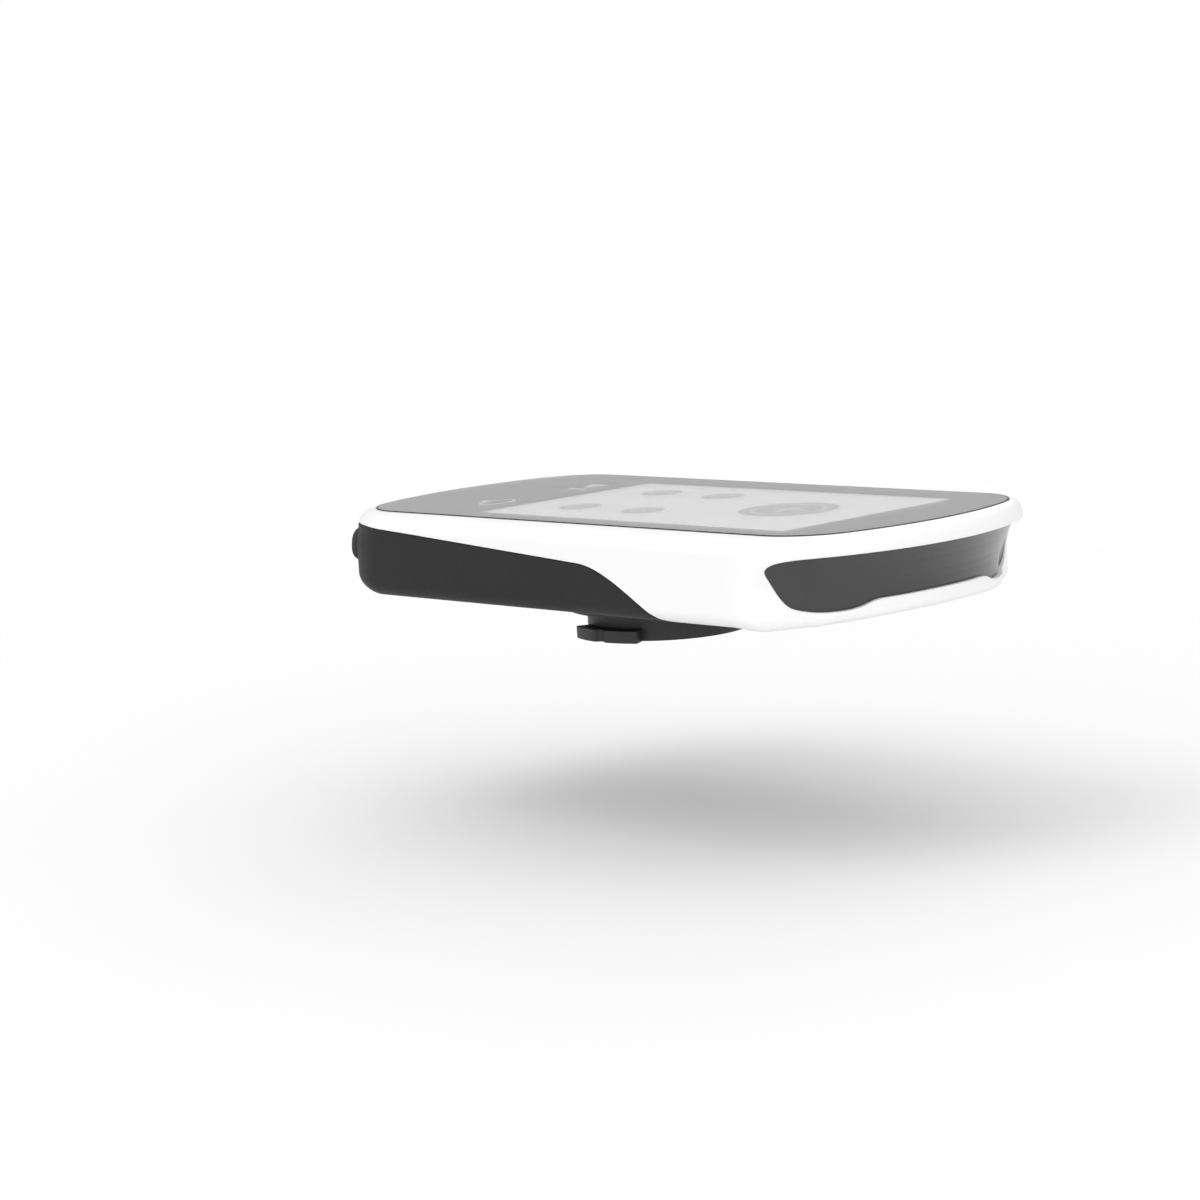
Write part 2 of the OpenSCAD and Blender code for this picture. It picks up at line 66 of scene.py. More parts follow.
class Body(Enum):
    """The bodies that pieces ride on."""

    CASING = "casing"
    CAP = "cap"
    POWER = "power_key"
    LAP = "lap_key"
    START_STOP = "start_stop_key"


def smooth(t: np.ndarray | float) -> np.ndarray:
    """Eases from 0 to 1 as t goes from 0 to 1."""
    u = np.clip(t, 0.0, 1.0)
    return u * u * (3 - 2 * u)


def to_row(points: np.ndarray) -> np.ndarray:
    """Turns (x, y, depth) in millimetres about the body's middle into metres in the part's frame.

    Args:
        points: Array whose last axis is x, y and depth below the glass.

    Returns:
        The same points in the part's frame.
    """
    out = np.array(points, float)
    out[..., 1] += MID_Y
    out[..., 2] = GLASS_Z - out[..., 2]
    return out * MM


def curve_through(points: Sequence[tuple[float, float]], steps: int = 8) -> np.ndarray:
    """Draws a smooth closed curve through points.

    Args:
        points: Corners of the closed curve, in order.
        steps: Pieces between two corners.

    Returns:
        The curve's points.
    """
    p = np.array(points, float)
    a, b, c, d = np.roll(p, 1, 0), p, np.roll(p, -1, 0), np.roll(p, -2, 0)
    t = (np.arange(steps) / steps)[None, :, None]
    q = (2 * b[:, None] + (c - a)[:, None] * t + (2 * a - 5 * b + 4 * c - d)[:, None] * t**2
         + (3 * b - a - 3 * c + d)[:, None] * t**3) / 2
    return q.reshape(-1, 2)


def inside_distance(polygon: np.ndarray, x: np.ndarray, y: np.ndarray) -> np.ndarray:
    """Distance of points to a closed polygon, positive inside it.

    Args:
        polygon: Corners of the polygon.
        x: First coordinates of the points.
        y: Second coordinates of the points.

    Returns:
        Signed distances, in the shape of x.
    """
    p = np.stack([x.ravel(), y.ravel()], 1)
    best = np.full(len(p), 1e9)
    inside = np.zeros(len(p), bool)
    for a, b in zip(polygon, np.roll(polygon, -1, 0)):
        e = b - a
        if e @ e < 1e-14:
            continue
        t = np.clip(((p - a) @ e) / (e @ e), 0, 1)
        best = np.minimum(best, np.linalg.norm(p - a - t[:, None] * e, axis=1))
        crosses = (a[1] > p[:, 1]) != (b[1] > p[:, 1])
        with np.errstate(divide="ignore", invalid="ignore"):
            inside ^= crosses & (p[:, 0] < e[0] * (p[:, 1] - a[1]) / e[1] + a[0])
    return np.where(inside, best, -best).reshape(x.shape)


def rounded_box(x: np.ndarray, y: np.ndarray, w: float, h: float, r: float) -> np.ndarray:
    """Distance inside a rounded rectangle about the origin, negative outside it."""
    qx, qy = np.abs(x) - w / 2 + r, np.abs(y) - h / 2 + r
    return r - np.hypot(np.maximum(qx, 0), np.maximum(qy, 0)) - np.minimum(np.maximum(qx, qy), 0)


@dataclass
class Skin:
    """An open surface: corner points in millimetres, its faces, and a wall thickness at each corner."""

    points: np.ndarray
    faces: list[list[int]]
    thick: np.ndarray

    def normals(self) -> np.ndarray:
        """Inward direction at each corner, averaged over its faces."""
        n = np.zeros_like(self.points)
        for f in self.faces:
            q = self.points[f]
            c = np.zeros(3)
            for k in range(1, len(f) - 1):
                c += np.cross(q[k] - q[0], q[k + 1] - q[0])
            n[f] += c
        size = np.linalg.norm(n, axis=1, keepdims=True)
        return n / np.where(size > 1e-12, size, 1)

    def shell(self, edge: float) -> tuple[np.ndarray, list[list[int]]]:
        """Gives the surface its wall, with rounded edges where it ends.

        Args:
            edge: Radius of the rounded edges.

        Returns:
            Points and faces of the closed form.
        """
        n = self.normals()
        used: dict[tuple[int, int], int] = {}
        for f in self.faces:
            for a, b in zip(f, f[1:] + f[:1]):
                used[(a, b)] = used.get((a, b), 0) + 1
        rim = [(a, b) for a, b in used if (b, a) not in used]
        after, before = {a: b for a, b in rim}, {b: a for a, b in rim}
        order = sorted(after)
        at = {v: k for k, v in enumerate(order)}
        p = self.points
        way = np.array([p[after[v]] - p[before[v]] for v in order])
        out = np.cross(way, n[order])
        out /= np.maximum(np.linalg.norm(out, axis=1, keepdims=True), 1e-9)
        t = self.thick[order][:, None]
        base, count, rings = len(p), len(order), 4
        turns = (math.pi / 6, math.pi / 3, math.pi / 2)
        steps = [(edge * math.sin(a), edge * (1 - math.cos(a))) for a in turns]
        layers = [p[order] + out * s + n[order] * d for s, d in steps]
        layers.append(p[order] + out * edge + n[order] * np.maximum(t, edge * 1.2))
        inner = p + n * self.thick[:, None]
        points = np.vstack([p, *layers, inner])
        start = base + rings * count

        def under(v: int) -> int:
            """Index of the corner on the wall's inner face."""
            return base + (rings - 1) * count + at[v] if v in at else start + v

        faces = [list(f) for f in self.faces]
        faces += [[under(v) for v in reversed(f)] for f in self.faces]
        for a, b in rim:
            ia, ib = at[a], at[b]
            upper = (a, b)
            for k in range(rings):
                lower = (base + k * count + ia, base + k * count + ib)
                faces.append([upper[1], upper[0], lower[0], lower[1]])
                upper = lower
        return points, faces


def clip(grid: np.ndarray, keep: np.ndarray, thick: np.ndarray, closed: bool, snap: float = 0.25) -> Skin:
    """Keeps the part of a grid of points where a field is positive, cut cleanly along the field's zero line.

    Args:
        grid: Points, columns by rows by 3.
        keep: The field, columns by rows.
        thick: Wall thickness, columns by rows.
        closed: True if the last column joins the first.
        snap: Share of an edge within which a corner moves onto the zero line.

    Returns:
        The kept surface.
    """
    grid, keep, thick = grid.copy(), keep.copy(), thick.copy()
    cols, rows = keep.shape
    best: dict[tuple[int, int], tuple[float, np.ndarray]] = {}

    def near(a: tuple[int, int], b: tuple[int, int]) -> None:
        """Notes where a corner should move, if the zero line passes close to it."""
        ka, kb = keep[a], keep[b]
        if (ka > 0) == (kb > 0):
            return
        t = ka / (ka - kb)
        for v, share in ((a, t), (b, 1 - t)):
            if share < snap and share < best.get(v, (9.0,))[0]:
                best[v] = (share, grid[a] + (grid[b] - grid[a]) * t)

    last = cols if closed else cols - 1
    sign = keep > 0
    for i in range(cols):
        nxt = (i + 1) % cols
        for j in range(rows):
            if j + 1 < rows and sign[i, j] != sign[i, j + 1]:
                near((i, j), (i, j + 1))
            if i < last and sign[i, j] != sign[nxt, j]:
                near((i, j), (nxt, j))
    for v, (_, place) in best.items():
        grid[v], keep[v] = place, 0.0
    points: list[np.ndarray] = []
    walls: list[float] = []
    index: dict[object, int] = {}

    def corner(key: object, place: np.ndarray, wall: float) -> int:
        """Index of a corner, added when it is new."""
        if key not in index:
            index[key] = len(points)
            points.append(place)
            walls.append(wall)
        return index[key]

    faces: list[list[int]] = []
    for i in range(last):
        nxt = (i + 1) % cols
        for j in range(rows - 1):
            quad = [(i, j), (i, j + 1), (nxt, j + 1), (nxt, j)]
            k = [keep[q] for q in quad]
            if max(k) <= 0:
                continue
            face: list[int] = []
            for m in range(4):
                a, b, ka, kb = quad[m], quad[(m + 1) % 4], k[m], k[(m + 1) % 4]
                if ka >= 0:
                    face.append(corner(a, grid[a], thick[a]))
                if ka * kb < 0:
                    t = ka / (ka - kb)
                    face.append(corner(tuple(sorted((a, b))), grid[a] + (grid[b] - grid[a]) * t,
                                       float(thick[a] + (thick[b] - thick[a]) * t)))
            face = [v for n, v in enumerate(face) if v != face[n - 1]]
            if len(face) > 2:
                faces.append(face)
    return Skin(np.array(points), faces, np.array(walls))


def make_mesh(name: str, points: np.ndarray, faces: Sequence[Sequence[int]],
              sharp: float = 40) -> bpy.types.Object:
    """Makes an object from points in metres and faces, smooth except at sharp edges.

    Args:
        name: Name of the piece.
        points: Corners, in metres in the part's frame.
        faces: Corner indices of each face.
        sharp: Angle in degrees above which an edge stays sharp.

    Returns:
        The new object.
    """
    mesh = bpy.data.meshes.new(name)
    mesh.from_pydata([tuple(p) for p in points], [], [list(f) for f in faces])
    return finish_mesh(name, mesh, sharp)


def finish_mesh(name: str, mesh: bpy.types.Mesh, sharp: float = 40) -> bpy.types.Object:
    """Cleans a mesh, turns its faces outwards, shades it and puts it in the scene.

    Args:
        name: Name of the piece.
        mesh: The mesh, in metres in the part's frame.
        sharp: Angle in degrees above which an edge stays sharp.

    Returns:
        The new object.
    """
    bm = bmesh.new()
    bm.from_mesh(mesh)
    bmesh.ops.remove_doubles(bm, verts=bm.verts, dist=1e-7)
    bmesh.ops.dissolve_degenerate(bm, edges=bm.edges, dist=1e-7)
    bmesh.ops.recalc_face_normals(bm, faces=bm.faces)
    if bm.calc_volume(signed=True) < 0:
        bmesh.ops.reverse_faces(bm, faces=bm.faces)
    limit = math.radians(sharp)
    for e in bm.edges:
        e.smooth = len(e.link_faces) == 2 and e.calc_face_angle(0.0) < limit
    for f in bm.faces:
        f.smooth = True
    bm.to_mesh(mesh)
    bm.free()
    obj = bpy.data.objects.new(name, mesh)
    bpy.context.scene.collection.objects.link(obj)
    return obj


def sweep(points: np.ndarray, closed_rows: bool = True) -> list[list[int]]:
    """Faces that join a grid of points, columns by rows, closed round its columns.

    Args:
        points: Grid of points, columns by rows by 3.
        closed_rows: True if each column is itself a closed loop.

    Returns:
        The faces, as indices into the flattened grid.
    """
    cols, rows = points.shape[:2]
    last = rows if closed_rows else rows - 1
    return [[i * rows + j, i * rows + (j + 1) % rows, (i + 1) % cols * rows + (j + 1) % rows,
             (i + 1) % cols * rows + j] for i in range(cols) for j in range(last)]


def slab_of(outer: np.ndarray, top: float, bottom: float, edge: float = 0.0,
            hole: np.ndarray | None = None) -> tuple[np.ndarray, list[list[int]]]:
    """A plate between two depths, with softened edges, and a hole of as many corners if one is given.

    Args:
        outer: Outline of the plate.
        top: Depth of its top face.
        bottom: Depth of its bottom face.
        edge: Size of the softened edges.
        hole: Outline of the hole, if it has one.

    Returns:
        Points in millimetres and faces.
    """
    mid = outer.mean(0)

    def ring(line: np.ndarray, d: float, shrink: float) -> np.ndarray:
        """The outline at a depth, drawn in along its own normals."""
        way = np.roll(line, -1, 0) - np.roll(line, 1, 0)
        n = np.stack([way[:, 1], -way[:, 0]], 1) / np.maximum(np.linalg.norm(way, axis=1), 1e-9)[:, None]
        return np.column_stack([line - n * shrink, np.full(len(line), d)])

    e = edge
    walls = [ring(outer, top, e), ring(outer, top + 0.3 * e, 0.3 * e), ring(outer, top + e, 0),
             ring(outer, bottom - e, 0), ring(outer, bottom - 0.3 * e, 0.3 * e), ring(outer, bottom, e)]
    if not e:
        walls = [walls[0], walls[-1]]
    if hole is not None:
        walls += [ring(hole, bottom, 0), ring(hole, top, 0)]
        grid = np.stack(walls, 1)
        return grid.reshape(-1, 3), sweep(grid)
    grid = np.stack(walls, 1)
    n, m = grid.shape[:2]
    points = np.vstack([grid.reshape(-1, 3), [*mid, top], [*mid, bottom]])
    faces = sweep(grid, closed_rows=False)
    faces += [[(i + 1) % n * m, i * m, n * m] for i in range(n)]
    faces += [[i * m + m - 1, (i + 1) % n * m + m - 1, n * m + 1] for i in range(n)]
    return points, faces


def join_parts(parts: Iterable[tuple[np.ndarray, list[list[int]]]]) -> tuple[np.ndarray, list[list[int]]]:
    """Puts several sets of points and faces together as one."""
    points, faces, start = [], [], 0
    for p, f in parts:
        points.append(p)
        faces += [[v + start for v in face] for face in f]
        start += len(p)
    return np.vstack(points), faces


def box_outline(x: float, y: float, w: float, h: float, r: float = 0.0, steps: int = 6) -> np.ndarray:
    """Outline of a rectangle with rounded corners, about a middle."""
    if not r:
        return np.array([[x + w / 2, y - h / 2], [x + w / 2, y + h / 2],
                         [x - w / 2, y + h / 2], [x - w / 2, y - h / 2]])
    out = []
    for cx, cy, a0 in ((1, -1, -90), (1, 1, 0), (-1, 1, 90), (-1, -1, 180)):
        for k in range(steps + 1):
            a = math.radians(a0 + 90 * k / steps)
            out.append([x + cx * (w / 2 - r) + r * math.cos(a), y + cy * (h / 2 - r) + r * math.sin(a)])
    return np.array(out)


def circle_outline(x: float, y: float, r: float, steps: int = 32) -> np.ndarray:
    """Outline of a circle about a middle."""
    a = np.arange(steps) / steps * 2 * np.pi
    return np.stack([x + r * np.cos(a), y + r * np.sin(a)], 1)


@dataclass(frozen=True)
class BodyForm:
    """The outside of the whole body as one smooth form: rim, walls, lower edge and crowned underside."""

    half_width: float = 29.0
    front_reach: float = 55.5
    rider_reach: float = 55.9
    corner_r: float = 16.0
    rider_rim_r: float = 14.9
    rider_low_r: float = 12.3
    front_re: float = 45.0
    rider_re: float = 50.0
    glass_hw: float = 24.5
    glass_reach: float = 52.9
    glass_r: float = 10.5
    glass_re: float = 55.0
    seat_gap: float = 0.1
    rim_gap: float = 0.2
    ledge_d: float = 1.5
    rim_d: float = 0.13
    shoulder_h: float = 2.6
    side_h: float = 13.05
    corner_drop: float = 0.6
    front_rise: float = 0.2
    crown_h: float = 15.0
    crown_r: float = 16.5
    lip_back: float = 3.3
    wall: float = 1.9
    side_steps: int = 92
    corner_steps: int = 34
    end_steps: int = 36

    def half_end(self, hw: float, reach: float, re: float, rc: float) -> np.ndarray:
        """Right-hand half of one end, from its corner's start to the middle of the end."""
        yc = reach - re + math.sqrt((re - rc) ** 2 - (hw - rc) ** 2)
        a = math.atan2(yc - reach + re, hw - rc)
        t = a * np.arange(self.corner_steps + 1) / self.corner_steps
        u = a + (math.pi / 2 - a) * np.arange(1, self.end_steps + 1) / self.end_steps
        corner = np.stack([hw - rc + rc * np.cos(t), yc + rc * np.sin(t)], 1)
        end = np.stack([re * np.cos(u), reach - re + re * np.sin(u)], 1)
        return np.vstack([corner, end])

    def round_trip(self, front: np.ndarray, rider: np.ndarray) -> np.ndarray:
        """Closed outline from the halves of its two ends, anticlockwise from the right-hand side."""
        k = np.arange(self.side_steps)[:, None] / self.side_steps
        flip, turn = np.array([-1.0, 1.0]), np.array([1.0, -1.0])
        right = rider[0] * turn + (front[0] - rider[0] * turn) * k
        left = front[0] * flip + (-rider[0] - front[0] * flip) * k[1:]
        return np.vstack([right, front, front[-2::-1] * flip, left, -rider, rider[-2:0:-1] * turn])

    def outline(self, corner: float, low: float) -> np.ndarray:
        """Body outline with given corner radii at the front and at the rider's end."""
        return self.round_trip(self.half_end(self.half_width, self.front_reach, self.front_re, corner),
                               self.half_end(self.half_width, self.rider_reach, self.rider_re, low))

    def glass(self, grow: float) -> np.ndarray:
        """Glass outline grown by a margin."""
        half = self.half_end(self.glass_hw + grow, self.glass_reach + grow,
                             self.glass_re + grow, self.glass_r + grow)
        return self.round_trip(half, half)

    def base(self) -> np.ndarray:
        """Body outline at the rim."""
        return self.outline(self.corner_r, self.rider_rim_r)

    def facing(self) -> np.ndarray:
        """Direction that each column's wall faces, in radians from +X."""
        def angles(reach: float, re: float) -> np.ndarray:
            """Facing along one half end."""
            rise = math.sqrt((re - self.corner_r) ** 2 - (self.half_width - self.corner_r) ** 2)
            a = math.atan2(rise, self.half_width - self.corner_r)
            t = a * np.arange(self.corner_steps + 1) / self.corner_steps
            u = a + (math.pi / 2 - a) * np.arange(1, self.end_steps + 1) / self.end_steps
            return np.concatenate([t, u])

        f, r = angles(self.front_reach, self.front_re), angles(self.rider_reach, self.rider_re)
        side = np.zeros(self.side_steps)
        return np.concatenate([side, f, math.pi - f[-2::-1],
                               side[1:] + math.pi, math.pi + r, 2 * math.pi - r[-2:0:-1]])

    def along(self, start: int) -> np.ndarray:
        """Length along the rim from a column, positive going anticlockwise."""
        p = self.base()
        step = np.linalg.norm(np.roll(p, -1, 0) - p, axis=1)
        s = np.concatenate([[0], np.cumsum(step)[:-1]])
        total = step.sum()
        return (s - s[start] + total / 2) % total - total / 2

    @property
    def front_column(self) -> int:
        """Column at the middle of the front."""
        return self.side_steps + self.corner_steps + self.end_steps

    @property
    def rider_column(self) -> int:
        """Column at the middle of the rider's end."""
        return 2 * self.side_steps + 3 * (self.corner_steps + self.end_steps)

    def front_turn(self) -> np.ndarray:
        """How far each column has turned towards the front, in degrees, 0 on the sides and rider's end."""
        a = np.degrees(self.facing())
        return np.where(a <= 180, np.minimum(a, 180 - a), 0)

    def lip(self) -> np.ndarray:
        """Set-back of the lower wall of each column behind the rim."""
        return self.lip_back * smooth((self.front_turn() - 12) / 34)

    def lip_share(self, d: np.ndarray) -> np.ndarray:
        """Share of the set-back that the wall has reached at a depth."""
        return smooth((d - 3.3) / 4.9)

    def wall_at(self, d: np.ndarray, inset: np.ndarray | float = 0.0) -> np.ndarray:
        """Points of the walls.

        Args:
            d: Depths, columns by rows.
            inset: Set-back behind the rim, in the same shape.

        Returns:
            Points, columns by rows by 3.
        """
        base, low = self.base(), self.outline(self.corner_r, self.rider_low_r)
        a = self.facing()
        n = np.stack([np.cos(a), np.sin(a)], 1)
        flare = smooth((d - 2.2) / 4)[..., None]
        back = (np.zeros_like(d) + inset)[..., None]
        xy = base[:, None] + (low - base)[:, None] * flare - n[:, None] * back
        return np.concatenate([xy, d[..., None]], -1)

    def fillet(self) -> tuple[np.ndarray, np.ndarray, np.ndarray]:
        """Width, height and lowest depth of the rounded lower edge at each column."""
        s = np.sin(self.facing())
        rider, front = smooth(-s), smooth(s)
        turn = self.front_turn()
        drop = self.corner_drop * smooth(turn / 25) * smooth((88 - turn) / 35)
        lowest = self.side_h + drop - self.front_rise * front
        return 2 + 3.5 * rider - 0.5 * front, 2 + 1.4 * rider - 0.5 * front, lowest

    def grid(self) -> tuple[np.ndarray, np.ndarray, np.ndarray]:
        """The whole outside as a grid of points from the glass's seat to the boss's seat.

        Returns:
            Points, wall thickness at each, and the distance in from the lower wall, 0 above the underside.
        """
        columns, thick, inwards = [], [], []
        count = len(self.base())

        def add(xy: np.ndarray, d: np.ndarray | float, t: float, far: np.ndarray | float = 0.0) -> None:
            """Adds one row."""
            columns.append(np.column_stack([xy, np.zeros(count) + d]))
            thick.append(np.full(count, t))
            inwards.append(np.zeros(count) + far)

        add(self.glass(-1.3), self.ledge_d, 1.4)
        add(self.glass(self.seat_gap), self.ledge_d, 1.4)
        add(self.glass(self.seat_gap), self.rim_d + 0.14, 0.3)
        add(self.glass(self.seat_gap + 0.03), self.rim_d + 0.04, 0.3)
        inner, outer = self.glass(self.rim_gap), self.base()
        for t in np.radians(np.arange(0, 90.1, 6)):
            share = math.sin(t)
            add(inner + (outer - inner) * share,
                self.rim_d + (self.shoulder_h - self.rim_d) * (1 - math.cos(t)),
                0.3 + 1.6 * (t / 1.571) ** 1.2)
        width, height, lowest = self.fillet()
        start = lowest - height
        lip = self.lip()
        for u in np.arange(1, 31) / 30:
            d = self.shoulder_h + (start - self.shoulder_h) * u
            w = self.wall_at(d[:, None], (lip * self.lip_share(d))[:, None])[:, 0]
            add(w[:, :2], d, self.wall)
        for t in np.radians(np.arange(9, 90.1, 9)):
            back = width * (1 - math.cos(t))
            d = start + height * math.sin(t)
            w = self.wall_at(d[:, None], (lip + back)[:, None])[:, 0]
            add(w[:, :2], d, self.wall, back)
        edge = columns[-1][:, :2]
        centre = np.array([0, -MID_Y])
        way = edge - centre
        ring = centre + way / np.linalg.norm(way, axis=1, keepdims=True) * self.crown_r
        run = np.linalg.norm(ring - edge, axis=1)
        for u in np.arange(1, 43) / 42:
            d = lowest + (self.crown_h - lowest) * (1.25 * u - 0.25 * u * u)
            add(edge + (ring - edge) * u, d, self.wall, width + run * u)
        add(centre + (ring - centre) * 0.8, self.crown_h, self.wall, width + run + 2)
        return np.stack(columns, 1), np.stack(thick, 1), np.stack(inwards, 1)

    def split_depth(self, y: np.ndarray) -> np.ndarray:
        """Depth of the split line between the two shells, along the sides."""
        return 2 + 0.067 * np.maximum(0, y + 43.2) + 8.6 * smooth((y - 6.5) / 24.5)


@dataclass(frozen=True)
class KeyPlace:
    """Where a button stands on the wall: its middle along the rim and in depth, and its size."""

    piece: str
    node: str
    body: Body
    middle: float
    depth: float
    length: float
    height: float
    proud: float = 1.15


@dataclass
class Casing:
    """The white bezel, the black rear housing and the dark panel round the front."""

    form: BodyForm
    edge: float = 0.14
    gap: float = 0.07
    key_gap: float = 0.3
    key_end_gap: float = 0.62
    cap_y: float = -42.6
    cap_w: float = 26.0
    cap_l: float = 11.0
    screw_x: tuple[float, float] = (-23.4, 23.4)
    screw_y: tuple[float, float, float] = (-34.0, 3.0, 31.0)
    screw_hole_r: float = 1.5
    vent: tuple[float, float] = (14.0, -28.0)
    vent_r: float = 0.67

    def __post_init__(self) -> None:
        """Works out the grid that both shells are cut from."""
        self.points, self.thick, self.inwards = self.form.grid()
        x, y, d = np.moveaxis(self.points, -1, 0)
        width = 3.6 + 2.6 * smooth(self.form.front_turn() / 90) - self.form.lip()
        strip = width[:, None] * smooth((y - 17) / 17)
        under = np.where(self.inwards > 0, self.inwards - strip, OUTSIDE)
        field_ = np.maximum(d - self.form.split_depth(y), under)
        down = np.gradient(self.points, axis=1)
        round_ = (np.roll(self.points, -1, 0) - np.roll(self.points, 1, 0)) / 2
        along = (np.roll(field_, -1, 0) - np.roll(field_, 1, 0)) / 2
        steep = np.hypot(np.gradient(field_, axis=1) / np.maximum(np.linalg.norm(down, axis=-1), 1e-3),
                         along / np.linalg.norm(round_, axis=-1))
        self.split = field_ / np.clip(steep, 0.25, 1.4)

    def panel_outline(self) -> np.ndarray:
        """Outline of the front panel, as length along the rim from its middle and depth."""
        half = [(0, 3.1), (10, 3.1), (20.9, 3.1), (24.65, 3.14), (27.36, 3.26), (29.68, 3.58), (31.2, 4.2),
                (31.69, 5.0), (31.2, 6.3), (30.2, 8.3), (28.8, 10.0), (27.0, 10.8), (24.3, 11.25),
                (21.35, 11.42), (18.3, 11.4), (15.9, 11.1), (13.9, 10.55), (12.2, 10.3), (8.25, 10.25)]
        return curve_through(half + [(0, 10.2)] + [(-s, d) for s, d in half[:0:-1]])

    def panel_field(self, s: np.ndarray, d: np.ndarray) -> np.ndarray:
        """Distance inside the front panel's outline."""
        near = (np.abs(s) < 36) & (d < 14)
        out = np.full(s.shape, OUTSIDE)
        out[near] = inside_distance(self.panel_outline(), s[near], d[near])
        return out

    def keys(self) -> list[KeyPlace]:
        """The three buttons and where they stand."""
        side = self.form.along(self.form.rider_column)
        y = self.form.base()[:, 1]
        facing = np.degrees(self.form.facing())
        left = np.where((facing > 179.9) & (facing < 180.1))[0]
        power = float(np.interp(14.0, -y[left], side[left]))
        right, depth, length, height = 17.45, 5.6, 17.5, 5.2
        return [KeyPlace("lap_button_grip", "lap_button", Body.LAP, -right, depth, length, height),
                KeyPlace("start_stop_button_grip", "start_stop_button", Body.START_STOP, right, depth,
                         length, height),
                KeyPlace("power_button_grip", "power_button", Body.POWER, power, 8.4, 14.0, 4.4, 0.65)]

    def bezel(self) -> bpy.types.Object:
        """White bezel with the opening for the front panel."""
        s = self.form.along(self.form.front_column)[:, None] + np.zeros_like(self.split)
        hole = self.panel_field(s, self.points[..., 2])
        hole = np.where(self.inwards > 0, OUTSIDE, hole)
        keep = np.minimum(-self.split - self.gap - self.edge, -hole - self.edge)
        skin = clip(self.points, keep, self.thick, closed=True)
        points, faces = skin.shell(self.edge)
        return make_mesh("bezel_shell", to_row(points), faces, 50)

    def cap_field(self, x: np.ndarray, y: np.ndarray, grow: float) -> np.ndarray:
        """Distance inside the weather cap's outline, grown by a margin."""
        whole = rounded_box(x, y - self.cap_y, self.cap_w + 2 * grow, self.cap_l + 2 * grow, 2.4)
        front = rounded_box(x, y - self.cap_y - 3, self.cap_w + 2 * grow, self.cap_l - 6 + 2 * grow, 0.4)
        return np.maximum(whole, front)

    def housing(self) -> bpy.types.Object:
        """Black rear housing with its slots, screw holes, cap recess and port hole."""
        x, y, d = np.moveaxis(self.points, -1, 0)
        s = self.form.along(self.form.rider_column)[:, None] + np.zeros_like(x)
        keep = self.split - self.gap - self.edge
        wall = self.inwards <= 0
        for k in self.keys():
            slot = rounded_box(s - k.middle, d - k.depth, k.length + 2 * self.key_end_gap,
                               k.height + 2 * self.key_gap, 1.3)
            keep = np.where(wall, np.minimum(keep, -slot - self.edge), keep)
        under = self.inwards > 0
        anchor = rounded_box(x, y - self.cap_y - self.cap_l / 2 - 1.6, 20.5, 4.2, 0.5)
        opening = np.maximum(self.cap_field(x, y, 0.22), anchor)
        keep = np.where(under, np.minimum(keep, -opening - self.edge), keep)
        for px in self.screw_x:
            for py in self.screw_y:
                hole = np.hypot(x - px, y - py) - self.screw_hole_r
                keep = np.where(under, np.minimum(keep, hole - self.edge), keep)
        vent = np.hypot(x - self.vent[0], y - self.vent[1]) - self.vent_r
        keep = np.where(under, np.minimum(keep, vent), keep)
        skin = clip(self.points, keep, self.thick, closed=True)
        points, faces = skin.shell(self.edge)
        return make_mesh("housing_shell", to_row(points), faces, 50)

    def pocket(self) -> bpy.types.Object:
        """Walls, floor and ceiling of the pocket behind the weather cap, part of the rear housing."""
        y = self.cap_y

        def frame_of(w: float, l: float, hw: float, hl: float, top: float, bottom: float,
                     hx: float = 0.0, hy: float = 0.0) -> tuple[np.ndarray, list[list[int]]]:
            """A rectangular plate with a rectangular hole."""
            return slab_of(box_outline(0, y, w, l), top, bottom, 0, box_outline(hx, y + hy, hw, hl))

        shelf = slab_of(box_outline(0, y + 1.6, 28.2, 16.2), 11.7, 12.28, 0, box_outline(0, y, 22, 7.4))
        ceiling = frame_of(24.4, 9.8, 8, 3.2, 6.4, 7.4, -5.2, 0)
        top, bottom, wall, ahead = 7.4, 11.8, 1.2, 4.3
        walls = [(-6.9, ahead, 10.6, wall, top, bottom), (11.5, ahead, 1.4, wall, top, bottom),
                 (4.6, ahead, 12.6, wall, top, 8.6), (4.6, ahead, 12.6, wall, 10.6, bottom),
                 (0, -ahead, 24.4, wall, top, bottom), (-11.6, 0, wall, 7.4, top, bottom),
                 (11.6, 0, wall, 7.4, top, bottom)]
        rest = [slab_of(box_outline(cx, y + cy, w, l), high, low) for cx, cy, w, l, high, low in walls]
        points, faces = join_parts([shelf, ceiling, *rest])
        return make_mesh("port_pocket_walls", to_row(points), faces, 30)

    def panel_inset(self, d: np.ndarray) -> np.ndarray:
        """Set-back of the front panel's face behind the rim: shallow at its tips, concave in between."""
        turn = self.form.front_turn()[:, None]
        depths = [2.0, 3.1, 4.2, 5.3, 6.4, 7.4, 8.6, 9.9, 11.5, 13]
        deep = np.interp(d, depths, [0.55, 1.15, 1.84, 2.45, 2.95, 3.35, 3.68, 3.9, 4.05, 4.1])
        full = self.form.lip_back * self.form.lip_share(d)
        mine = self.form.lip()[:, None] * self.form.lip_share(d)
        return mine + 0.25 + (deep - full - 0.25) * smooth((turn - 20) / 26)

    def panel(self) -> bpy.types.Object:
        """Dark gloss panel that lines the opening round the front."""
        d = np.arange(2.4, 12.4, 0.2)[None, :] + np.zeros((len(self.form.base()), 1))
        grid = self.form.wall_at(d, self.panel_inset(d))
        s = self.form.along(self.form.front_column)[:, None] + np.zeros_like(d)
        keep = self.panel_field(s, d) + 0.5
        skin = clip(grid, keep, np.full(d.shape, 0.9), closed=True)
        points, faces = skin.shell(0.05)
        return make_mesh("front_panel_face", to_row(points), faces, 50)

